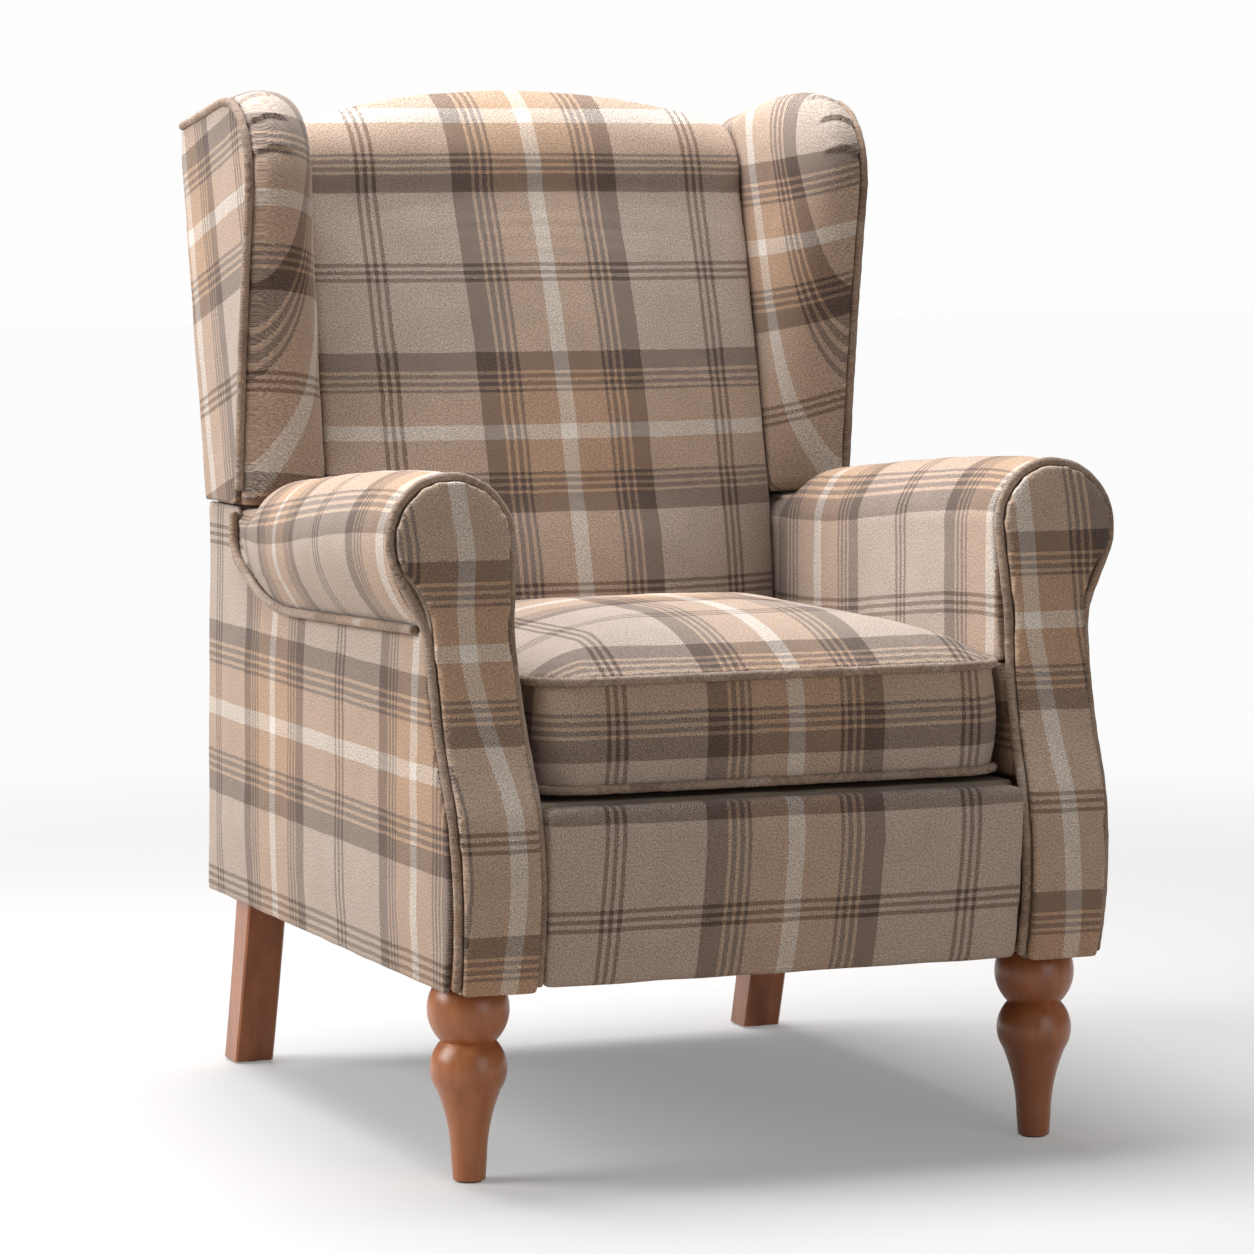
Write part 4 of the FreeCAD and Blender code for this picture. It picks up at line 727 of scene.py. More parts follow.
@dataclass
class Pad:
    """A covered piece that takes its form from its CAD node and is then filled, eased and clothed."""

    name: str
    nodes: tuple[str, ...]
    body: str
    lay: Lay
    held: Held | None = None
    carve: Carve | None = None
    form: Form | None = None
    around: tuple[str, ...] = ()
    voxel: float = 0.005
    cap: float = 0.005
    shrink: float = 0.001
    fill: float = 0.6
    levels: int = 1
    smooth: int = 3
    slot: str = "plaid_fabric"

    def build(self) -> bpy.types.Object:
        """Makes the piece.

        Returns:
            The finished object, riding its body.
        """
        side = (-1.0 if self.name.endswith("left") else 1.0) if self.around else 0.0
        piece = joined_copy(self.name, self.nodes + self.around, side)
        even_mesh(piece, self.voxel, self.smooth)
        rest = vectors(piece.data)
        if self.form is not None:
            rest = self.form(rest)
            place_points(piece.data, rest)
        kept = piece.data.attributes.new("rest", "FLOAT_VECTOR", "POINT")
        kept.data.foreach_set("vector", rest.astype(np.float32).ravel())
        if self.held is not None:
            self.swell(piece, rest)
        if self.levels:
            finer = piece.modifiers.new("finer", "SUBSURF")
            finer.levels = self.levels
            finer.render_levels = self.levels
            settle(piece)
        self.finish(piece)
        return piece

    def swell(self, piece: bpy.types.Object, rest: Points) -> None:
        """Lets air pressure fill the cover between its seams, by a cloth simulation.

        Args:
            piece: the object, at its rest form.
            rest: its points at rest.
        """
        normals = vectors(piece.data, True)
        held = self.held(rest, normals)
        place_points(piece.data, rest - normals * np.where(held, 0.0, self.shrink)[:, None])
        group = piece.vertex_groups.new(name="seams")
        group.add([int(i) for i in np.flatnonzero(held)], 1.0, "REPLACE")
        cloth = piece.modifiers.new("fill", "CLOTH")
        for setting, value in CLOTH.items():
            setattr(cloth.settings, setting, value)
        cloth.settings.effector_weights.gravity = 0
        cloth.collision_settings.use_collision = False
        cloth.point_cache.frame_start = 1
        cloth.point_cache.frame_end = STEPS
        for step in range(1, STEPS + 1):
            bpy.context.scene.frame_set(step)
        settle(piece)
        bpy.context.scene.frame_set(1)
        piece.vertex_groups.clear()
        moved = vectors(piece.data) - rest
        reach = np.linalg.norm(moved, axis=1, keepdims=True)
        limit = self.cap * np.tanh(reach / self.cap) / np.maximum(reach, 1e-9)
        place_points(piece.data, rest + moved * limit)

    def finish(self, piece: bpy.types.Object) -> None:
        """Carves the details, lays the cloth on and seats the piece on its body.

        Args:
            piece: the object, filled.
        """
        mesh = piece.data
        points = vectors(mesh)
        normals = vectors(mesh, True)
        height = uneven(points, 0.0007)
        if self.carve is not None:
            height = height + self.carve(points, normals)
        place_points(mesh, points + normals * height[:, None])
        rest = np.empty(len(mesh.vertices) * 3, np.float32)
        mesh.attributes["rest"].data.foreach_get("vector", rest)
        lay_cloth(mesh, rest.reshape(-1, 3).astype(float), self.lay)
        mesh.attributes.remove(mesh.attributes["rest"])
        dress(piece, self.body, self.slot, *self.nodes)


def lay_cloth(mesh: bpy.types.Mesh, rest: Points, lay: Lay) -> None:
    """Writes the "cloth" map, in metres of the check.

    Args:
        mesh: the mesh.
        rest: its points before it was filled.
        lay: gives places in the check for points and the normals of their faces.
    """
    corners = np.empty(len(mesh.loops), np.int32)
    mesh.loops.foreach_get("vertex_index", corners)
    faces = np.empty(len(mesh.polygons) * 3, np.float32)
    mesh.polygons.foreach_get("normal", faces)
    counts = np.empty(len(mesh.polygons), np.int32)
    mesh.polygons.foreach_get("loop_total", counts)
    normals = np.repeat(faces.reshape(-1, 3), counts, axis=0).astype(float)
    layer = mesh.uv_layers.new(name="cloth")
    layer.data.foreach_set("uv", lay(rest[corners], normals).astype(np.float32).ravel())


def dress(piece: bpy.types.Object, body: str, slot: str, *nodes: str) -> None:
    """Gives a finished piece its slot's material, smooth shading and its body, and hides the nodes that
    it stands for.

    Args:
        piece: the object.
        body: the body that it rides.
        slot: the slot of its finish.
        nodes: the CAD nodes.
    """
    piece.data.materials.clear()
    piece.data.materials.append(FINISHES.made[slot])
    piece.data.polygons.foreach_set("use_smooth", [True] * len(piece.data.polygons))
    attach(piece, body)
    if nodes:
        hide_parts(*nodes)
    LOG.info("%s: %d faces on %s", piece.name, len(piece.data.polygons), body)


def bias(points: Points, normals: Points) -> np.ndarray:
    """Cloth cut on the bias for piping that runs in an upright plane along Y or X."""
    side = points[:, 0] + points[:, 1]
    return np.stack([(side + points[:, 2]) * 0.7071, (points[:, 2] - side) * 0.7071], axis=1)


@dataclass
class Piping:
    """Covered cord sewn into a seam, taken from its CAD node's line."""

    name: str
    node: str
    body: str
    voxel: float = 0.0016
    turn: tuple[float, float, float] = (1.0, 1.0, 1.0)
    form: Form | None = None
    passes: int = 6
    fullness: float = 0.0008

    def build(self) -> bpy.types.Object:
        """Makes the piping.

        Returns:
            The finished object.
        """
        piece = joined_copy(self.name, (self.node,))
        even_mesh(piece, self.voxel, self.passes)
        mesh = piece.data
        points = vectors(mesh)
        if self.form is not None:
            points = self.form(points)
            place_points(mesh, points)
        lay_cloth(mesh, points * np.array(self.turn), bias)
        ripple = uneven(points, 0.0004, 0.021)
        place_points(mesh, points + vectors(mesh, True) * (ripple + self.fullness)[:, None])
        dress(piece, self.body, "plaid_piping", self.node)
        return piece


# -------------------------------------------------------------- sub-assemblies


@dataclass
class ArmFronts:
    """The padded S-shaped fronts of the arms, with the piping round them."""

    white_height: float = 0.5015
    scale: float = 0.94
    rim: float = 0.0014
    proud: float = 0.003
    left_line: Knots = (
        (0.203, -0.282),
        (0.290, -0.275),
        (0.370, -0.277),
        (0.441, -0.294),
        (0.499, -0.304),
        (0.547, -0.305),
        (0.591, -0.300),
        (0.653, -0.308),
    )
    right_line: Knots = (
        (0.202, 0.296),
        (0.343, 0.290),
        (0.463, 0.283),
        (0.511, 0.277),
        (0.600, 0.275),
        (0.665, 0.270),
    )

    def lay(self, side: float) -> Lay:
        """How the check falls on one arm front, whose white stripe follows the waist.

        Args:
            side: 1 for the right, -1 for the left.

        Returns:
            A function that gives places in the check.
        """
        line = np.array(self.right_line if side > 0 else self.left_line)
        rows = even(self.white_height + (0.011 if side > 0 else 0.0), self.scale)

        def spots(points: Points, normals: Points) -> np.ndarray:
            """Places in the check.

            Args:
                points: points of the panel, as rows.
                normals: not used.

            Returns:
                Places in the check, as rows.
            """
            x, _, z = points.T
            steps = (-0.016, -0.008, 0.0, 0.008, 0.016)
            white = np.mean([np.interp(z + step, line[:, 0], line[:, 1]) for step in steps], axis=0)
            return np.stack([x - white, spread(z, rows)], axis=1)

        return spots

    def pull(self, side: float) -> Carve:
        """Small gathers round the scroll, and the rim pushed out to its piping.

        Args:
            side: 1 for the right, -1 for the left.

        Returns:
            A function that gives heights.
        """

        def height(points: Points, normals: Points) -> np.ndarray:
            """How far each point moves out.

            Args:
                points: points of the panel, as rows.
                normals: the normals there, as rows.

            Returns:
                How far each point moves out.
            """
            across = points[:, 0] * side - ROLL_ACROSS
            up = points[:, 2] - ROLL_HEIGHT
            angle = np.arctan2(up, across)
            near = ease(np.hypot(across, up), 0.034, 0.056) * ease(up, -0.03, 0.02)
            gather = -0.0007 * near * (0.5 + 0.5 * np.sin(angle * 17 + np.sin(angle * 5) * 1.4))
            edge = ease(normals[:, 1], -0.8, -0.3) * (1 - ease(normals[:, 1], 0.6, 0.9))
            return gather + self.rim * edge

        return height

    def forward(self, points: Points) -> Points:
        """The piping, standing proud of the front."""
        return points - np.array((0.0, self.proud, 0.0))

    def build(self) -> None:
        """Makes both fronts."""
        for label, side in SIDES:
            Pad(
                f"arm_front_{label}", (f"facing_pad_{label}",), "base", self.lay(side),
                held=lambda points, normals: normals[:, 1] > -0.8,
                carve=self.pull(side), voxel=0.0045, cap=0.005, fill=0.5, smooth=2,
            ).build()
            Piping(
                f"arm_front_piping_{label}", f"facing_piping_{label}", "base", form=self.forward
            ).build()


@dataclass
class Arms:
    """Rolled arms: inner padding, the roll itself, the outside panel and the piping under the roll."""

    radius: float = 0.0585
    top: float = 0.666
    drop: float = 0.036
    depth: float = 0.0615
    turn_end: float = 0.245
    under_wing: float = 0.6035
    panel_top: float = 0.565
    pipe_end: float = 0.57
    columns_right: Knots = even(-0.329, 1.145)
    columns_left: Knots = ((-0.312, 0.0), (-0.115, 0.1825), (0.041, 0.365))
    columns_outside: Knots = (
        (-0.318, -0.365),
        (-0.232, -0.285),
        (-0.095, -0.1825),
        (0.034, -0.080),
        (0.123, 0.0),
        (0.207, 0.080),
    )
    rows_outside: Knots = even(0.388)

    def girth(self, points: Points) -> np.ndarray:
        """Distance round the arm from the top of the roll, inwards positive.

        Args:
            points: points of the panel, as rows.

        Returns:
            The distances.
        """
        x, y, z = points.T
        middle = self.top - self.drop * ease(y, FRONT + 0.071, FRONT + 0.56) - self.depth
        across = np.abs(x) - ROLL_ACROSS
        up = z - middle
        angle = np.arctan2(up, across)
        angle = np.where(angle < -math.pi / 2, angle + 2 * math.pi, angle)
        round_top = (angle - math.pi / 2) * self.radius
        down = math.pi / 2 * self.radius - up
        return np.where((up < 0) & (across < 0), down, round_top)

    def lay_roll(self, side: float) -> Lay:
        """How the check falls on the roll and the inner face.

        Args:
            side: 1 for the right, -1 for the left.

        Returns:
            A function that gives places in the check.
        """
        columns = self.columns_right if side > 0 else self.columns_left
        rows = even(-0.011 if side > 0 else 0.006)

        def spots(points: Points, normals: Points) -> np.ndarray:
            """Places in the check."""
            return np.stack([spread(points[:, 1], columns), spread(self.girth(points), rows)], axis=1)

        return spots

    def lay_outside(self, points: Points, normals: Points) -> np.ndarray:
        """Args:
            points: points of the panel, as rows.
            normals: not used.

        Returns:
            Places in the check, as rows.
        """
        _, y, z = points.T
        lean = y + 0.03 * (z - 0.39)
        return np.stack([spread(lean, self.columns_outside), spread(z, self.rows_outside)], axis=1)

    def lift_panel(self, points: Points) -> Points:
        """The outside panel's rear, carried up to the wing behind the piping.

        Args:
            points: points of the panel, as rows.

        Returns:
            The points, moved.
        """
        out = points.copy()
        behind = ease(points[:, 1], self.turn_end - 0.008, self.turn_end + 0.006)
        top = ease(points[:, 2], self.panel_top - 0.012, self.panel_top - 0.0005)
        out[:, 2] += (self.under_wing - self.panel_top) * behind * top
        return out

    def tuck(self, points: Points) -> Points:
        """The roll's rear end, tucked in behind the outside panel.

        Args:
            points: points of the panel, as rows.

        Returns:
            The points, moved.
        """
        x, y, _ = points.T
        out = points.copy()
        behind = ease(y, self.turn_end - 0.010, self.turn_end + 0.004) * (np.abs(x) > 0.333)
        out[:, 0] -= np.sign(x) * 0.0042 * behind
        return out

    def lift_end(self, points: Points) -> Points:
        """The piping's upper end, carried up to the wing.

        Args:
            points: points of the panel, as rows.

        Returns:
            The points, moved.
        """
        _, y, z = points.T
        out = points.copy()
        rising = (z > self.pipe_end) & (y > 0.23)
        out[:, 2] = np.where(rising, self.pipe_end + (z - self.pipe_end) * 1.62, z)
        return out

    def plump(self, points: Points, normals: Points) -> np.ndarray:
        """A little fullness over the roll, drawn in beside the piping at its front.

        Args:
            points: points of the panel, as rows.
            normals: the normals there, as rows.

        Returns:
            How far each point moves out.
        """
        x, y, z = points.T
        along = ease(y, FRONT + 0.075, FRONT + 0.13) * (1 - ease(y, FRONT + 0.50, FRONT + 0.60))
        rear = ease(y, FRONT + 0.45, FRONT + 0.55) * ease(normals[:, 2], -0.1, 0.4)
        inner = ease(-normals[:, 0] * np.sign(x), 0.5, 0.9)
        fullness = 0.0025 * along * ease(normals[:, 2], -0.7, 0.0) + 0.0016 * rear
        return fullness * (1 - inner) * (z > 0.54)

    def build(self) -> None:
        """Makes both arms."""
        for label, side in SIDES:
            Pad(
                f"arm_roll_cover_{label}", (f"arm_roll_{label}",), "base", self.lay_roll(side),
                carve=self.plump, form=self.tuck, around=("arm_boards",),
                voxel=0.0028, fill=0.8, smooth=2, levels=0,
            ).build()
            Pad(
                f"arm_inside_cover_{label}", (f"arm_pad_{label}",), "base", self.lay_roll(side),
                carve=lambda points, normals: 0.0012 * np.abs(normals[:, 0]),
                voxel=0.005, fill=0.4, smooth=1, levels=0,
            ).build()
            Pad(
                f"arm_outside_cover_{label}", (f"outside_arm_panel_{label}",), "base", self.lay_outside,
                carve=self.taut(side), form=self.lift_panel, voxel=0.0035, **FLAT,
            ).build()
            Piping(
                f"arm_roll_piping_{label}", f"arm_piping_{label}", "base", form=self.lift_end
            ).build()

    def taut(self, side: float) -> Carve:
        """A slight crown in the outside panel, drawn in at its edges.

        Args:
            side: 1 for the right, -1 for the left.

        Returns:
            A function that gives heights.
        """

        def height(points: Points, normals: Points) -> np.ndarray:
            """How far each point moves out.

            Args:
                points: points of the panel, as rows.
                normals: the normals there, as rows.

            Returns:
                How far each point moves out.
            """
            along = ease(points[:, 1], -0.40, -0.30) * (1 - ease(points[:, 1], 0.28, 0.37))
            up = ease(points[:, 2], 0.188, 0.27) * (1 - ease(points[:, 2], 0.44, 0.52))
            return 0.003 * along * up * (normals[:, 0] * side > 0.7)

        return height


@dataclass
class SeatBox:
    """Front border, seat deck, rear cover and the dust cover under the seat."""

    def lay_border(self, points: Points, normals: Points) -> np.ndarray:
        """Args:
            points: points of the panel, as rows.
            normals: not used.

        Returns:
            Places in the check, as rows.
        """
        x, _, z = points.T
        lean = x - 0.0035 - 0.035 * (z - 0.32)
        return np.stack([spread(lean, even(0.0)), spread(z, even(0.434))], axis=1)

    def lay_rear(self, points: Points, normals: Points) -> np.ndarray:
        return np.stack([points[:, 0], spread(points[:, 2], even(0.388))], axis=1)

    def held(self, points: Points, normals: Points) -> np.ndarray:
        """The front border's edges and rear face."""
        x, _, z = points.T
        return (normals[:, 1] > -0.6) | (z < 0.196) | (np.abs(x) > 0.238)

    def build(self) -> None:
        """Makes the covers of the seat box."""
        Pad(
            "front_border_cover", ("front_border",), "base", self.lay_border, held=self.held,
            voxel=0.006, cap=0.004, fill=0.5, smooth=2,
        ).build()
        Pad(
            "rear_cover_cloth", ("rear_cover",), "base", self.lay_rear,
            carve=lambda points, normals: 0.001 * (normals[:, 1] > 0.7), voxel=0.004, **FLAT,
        ).build()
        Pad(
            "seat_deck_cloth", ("seat_deck",), "base", self.lay_rear, slot="lining_cloth",
            voxel=0.005, fill=0.3, smooth=1, levels=0,
        ).build()
        self.dust_cover()

    def dust_cover(self) -> None:
        """The cloth tacked under the seat, sagging a little between the rails, and its staples."""
        low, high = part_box("dust_cover")
        cells = 60
        middle = (low.z + high.z) / 2
        xs = np.linspace(low.x, high.x, cells + 1)
        ys = np.linspace(low.y, high.y, cells + 1)
        grid_x, grid_y = np.meshgrid(xs, ys, indexing="ij")
        inward = np.minimum.reduce([grid_x - low.x, high.x - grid_x, grid_y - low.y, high.y - grid_y])
        grid_z = np.full_like(grid_x, middle) - 0.0035 * ease(inward, 0.03, 0.16)
        points = np.stack([grid_x, grid_y, grid_z], axis=-1).reshape(-1, 3)
        index = np.arange((cells + 1) ** 2).reshape(cells + 1, cells + 1)
        corners = [index[:-1, :-1], index[:-1, 1:], index[1:, 1:], index[1:, :-1]]
        quads = np.stack(corners, axis=-1).reshape(-1, 4)
        mesh = bpy.data.meshes.new("dust_cover_cloth")
        mesh.from_pydata(points.tolist(), [], quads.tolist())
        piece = new_piece("dust_cover_cloth", mesh)
        thicken = piece.modifiers.new("thickness", "SOLIDIFY")
        thicken.thickness = 0.0008
        thicken.offset = 0.0
        settle(piece)
        dress(piece, "base", "black_cloth", "dust_cover")
        inset = 0.008
        left, right, front, rear = low.x + inset, high.x - inset, low.y + inset, high.y - inset
        ring = ((left, front), (right, front), (right, rear), (left, rear))
        path = [(x, y, middle - 0.0007) for x, y in ring]
        size = (0.010, 0.0008, 0.0007)
        Row("dust_cover_staples", "base", "zinc_steel", path, 0.042, size, closed=True).build()


@dataclass
class Row:
    """Small equal pieces set along a path by Geometry Nodes, such as staples, stitches or zip teeth."""

    name: str
    body: str
    slot: str
    path: Sequence[tuple[float, float, float]]
    spacing: float
    size: tuple[float, float, float]
    closed: bool = False

    def tree(self) -> bpy.types.NodeTree:
        """Builds the node tree, with Spacing and Size as its named inputs.

        Returns:
            The tree.
        """
        tree = bpy.data.node_groups.new(f"{self.name}_row", "GeometryNodeTree")
        for name, way, kind in (
            ("Geometry", "INPUT", "Geometry"),
            ("Spacing", "INPUT", "Float"),
            ("Size", "INPUT", "Vector"),
            ("Geometry", "OUTPUT", "Geometry"),
        ):
            tree.interface.new_socket(name, in_out=way, socket_type=f"NodeSocket{kind}")
        kinds = {
            "enter": "NodeGroupInput",
            "curve": "GeometryNodeMeshToCurve",
            "points": "GeometryNodeResampleCurve",
            "tangent": "GeometryNodeInputTangent",
            "align": "FunctionNodeAlignEulerToVector",
            "bar": "GeometryNodeMeshCube",
            "set": "GeometryNodeInstanceOnPoints",
            "realize": "GeometryNodeRealizeInstances",
            "finish": "GeometryNodeSetMaterial",
            "leave": "NodeGroupOutput",
        }
        nodes = {key: tree.nodes.new(kind) for key, kind in kinds.items()}
        nodes["points"].mode = "LENGTH"
        nodes["finish"].inputs["Material"].default_value = FINISHES.made[self.slot]
        links = [
            ("enter", "Geometry", "curve", "Mesh"),
            ("curve", "Curve", "points", "Curve"),
            ("enter", "Spacing", "points", "Length"),
            ("points", "Curve", "set", "Points"),
            ("tangent", "Tangent", "align", "Vector"),
            ("enter", "Size", "bar", "Size"),
            ("bar", "Mesh", "set", "Instance"),
            ("align", "Rotation", "set", "Rotation"),
            ("set", "Instances", "realize", "Geometry"),
            ("realize", "Geometry", "finish", "Geometry"),
            ("finish", "Geometry", "leave", "Geometry"),
        ]
        for start, output, end, entry in links:
            tree.links.new(nodes[start].outputs[output], nodes[end].inputs[entry])
        return tree

    def build(self) -> bpy.types.Object:
        """Makes the row as one plain mesh.

        Returns:
            The finished object.
        """
        count = len(self.path)
        edges = [(i, i + 1) for i in range(count - 1)] + ([(count - 1, 0)] if self.closed else [])
        mesh = bpy.data.meshes.new(self.name)
        mesh.from_pydata(list(self.path), edges, [])
        piece = new_piece(self.name, mesh)
        tree = self.tree()
        modifier = piece.modifiers.new("row", "NODES")
        modifier.node_group = tree
        sizes = {"Spacing": self.spacing, "Size": self.size}
        for item in tree.interface.items_tree:
            if item.in_out == "INPUT" and item.name in sizes:
                modifier[item.identifier] = sizes[item.name]
        settle(piece)
        dress(piece, self.body, self.slot)
        return piece


@dataclass
class BackRest:
    """The lift-off back: inside back, rolled wings with their pleats, outer panels and outside back."""

    half: float = 0.25
    slope: float = 0.276
    pleats: tuple[tuple[float, float, float, float], ...] = (
        (0.170, 0.968, 0.05, 0.0036),
        (0.182, 1.004, 0.40, 0.0034),
        (0.222, 1.026, 1.10, 0.0030),
    )

    def lay_inside(self, points: Points, normals: Points) -> np.ndarray:
        """Args:
            points: points of the panel, as rows.
            normals: not used.

        Returns:
            Places in the check, as rows.
        """
        x, y, z = points.T
        columns = even(0.006, 1.02)
        rows = even(0.678, 0.332 / REPEAT)
        lean = x + 0.012 * (z - 0.68)
        over = np.maximum(0.0, y - 0.345)
        return np.stack([spread(lean, columns), spread(z + over, rows)], axis=1)

    def lay_wing(self, side: float) -> Lay:
        """How the check falls on the padded inside of a wing, carried round its nose.

        Args:
            side: 1 for the right, -1 for the left.

        Returns:
            A function that gives places in the check.
        """

        def spots(points: Points, normals: Points) -> np.ndarray:
            """Places in the check.

            Args:
                points: points of the panel, as rows.
                normals: not used.

            Returns:
                Places in the check, as rows.
            """
            x, y, z = points.T
            out = np.maximum(0.0, np.abs(x) - self.half)
            along = y - self.slope * (z - 0.97) - 0.55 * out
            if side > 0:
                up = z + 0.045 * y - 0.02 * out / 0.09
                return np.stack([spread(along, even(0.272, 0.95)), spread(up, even(0.878))], axis=1)
            up = z + 0.2 * (y - 0.17) + 0.2 * (0.089 - out) * 0.4
            return np.stack([spread(along, even(0.268, 0.95)), spread(up, even(0.925))], axis=1)

        return spots

    def lay_outer(self, points: Points, normals: Points) -> np.ndarray:
        """Args:
            points: points of the panel, as rows.
            normals: not used.

        Returns:
            Places in the check, as rows.
        """
        _, y, z = points.T
        up = (z + 0.25 * (y - 0.3)) / 1.031
        along = (y - 0.277 * (z - 0.705)) / 1.038
        return np.stack([spread(along, even(0.335 / 1.038)), spread(up, even(0.902 / 1.031))], axis=1)

    def lay_outside(self, points: Points, normals: Points) -> np.ndarray:
        return np.stack([points[:, 0], spread(points[:, 2], even(0.678, 0.95))], axis=1)

    def hem(self, points: Points, normals: Points) -> np.ndarray:
        """Three pleats round each wing's top corner, and a little more cover under the wing.

        Args:
            points: points of the panel, as rows.
            normals: the normals there, as rows.

        Returns:
            How far each point moves out.
        """
        inward = 0.338 - np.abs(points[:, 0])
        out = np.zeros(len(points))
        for y, z, turn, depth in self.pleats:
            along = (points[:, 1] - y) * math.sin(turn) + (points[:, 2] - z) * math.cos(turn)
            away = -(points[:, 1] - y) * math.cos(turn) + (points[:, 2] - z) * math.sin(turn)
            share = np.clip(inward / 0.044, 0, 1)
            offset = along - 0.0065 * 4 * share * (1 - share)
            fade = (1 - ease(share, 0.72, 1.0)) * ease(inward, -0.004, 0.004) * (np.abs(away) < 0.03)
            lip = np.exp(-np.clip(offset, 0, None) / 0.010) * (offset >= 0)
            drop = np.exp(-np.clip(-offset, 0, None) / 0.006) * (offset < 0)
            out += depth * fade * (0.45 * lip - drop)
        return out + 0.0016 * ease(-normals[:, 2], 0.6, 0.9) * (points[:, 2] < 0.62)

    def held_back(self, points: Points, normals: Points) -> np.ndarray:
        """The inside back's rear, sides and foot."""
        return (normals[:, 1] > -0.35) | (np.abs(points[:, 0]) > 0.238) | (points[:, 2] < 0.42)

    def held_wing(self, points: Points, normals: Points) -> np.ndarray:
        """A wing's seams: its outer edge, rear, foot and inner edge."""
        across = np.abs(points[:, 0])
        return (across > 0.334) | (normals[:, 1] > 0.6) | (points[:, 2] < 0.625) | (across < 0.256)

    def build(self) -> None:
        """Makes the back's covers."""
        Pad(
            "inside_back_cover", ("inside_back_pad",), "back", self.lay_inside, held=self.held_back,
            voxel=0.007, cap=0.006, fill=0.7,
        ).build()
        Pad(
            "outside_back_cover", ("outside_back",), "back", self.lay_outside,
            carve=lambda points, normals: 0.0015 * (normals[:, 1] > 0.6), voxel=0.005, **FLAT,
        ).build()
        for label, side in SIDES:
            Pad(
                f"wing_cover_{label}", (f"wing_pad_{label}",), "back", self.lay_wing(side),
                held=self.held_wing, carve=self.hem, voxel=0.0048, cap=0.004, fill=0.7, smooth=2,
            ).build()
            Pad(
                f"wing_outer_cover_{label}", (f"wing_outer_panel_{label}",), "back", self.lay_outer,
                carve=lambda points, normals: 0.0012 * (np.abs(normals[:, 0]) > 0.7),
                voxel=0.002, **FLAT,
            ).build()
            Piping(f"wing_edge_piping_{label}", f"wing_piping_{label}", "back").build()


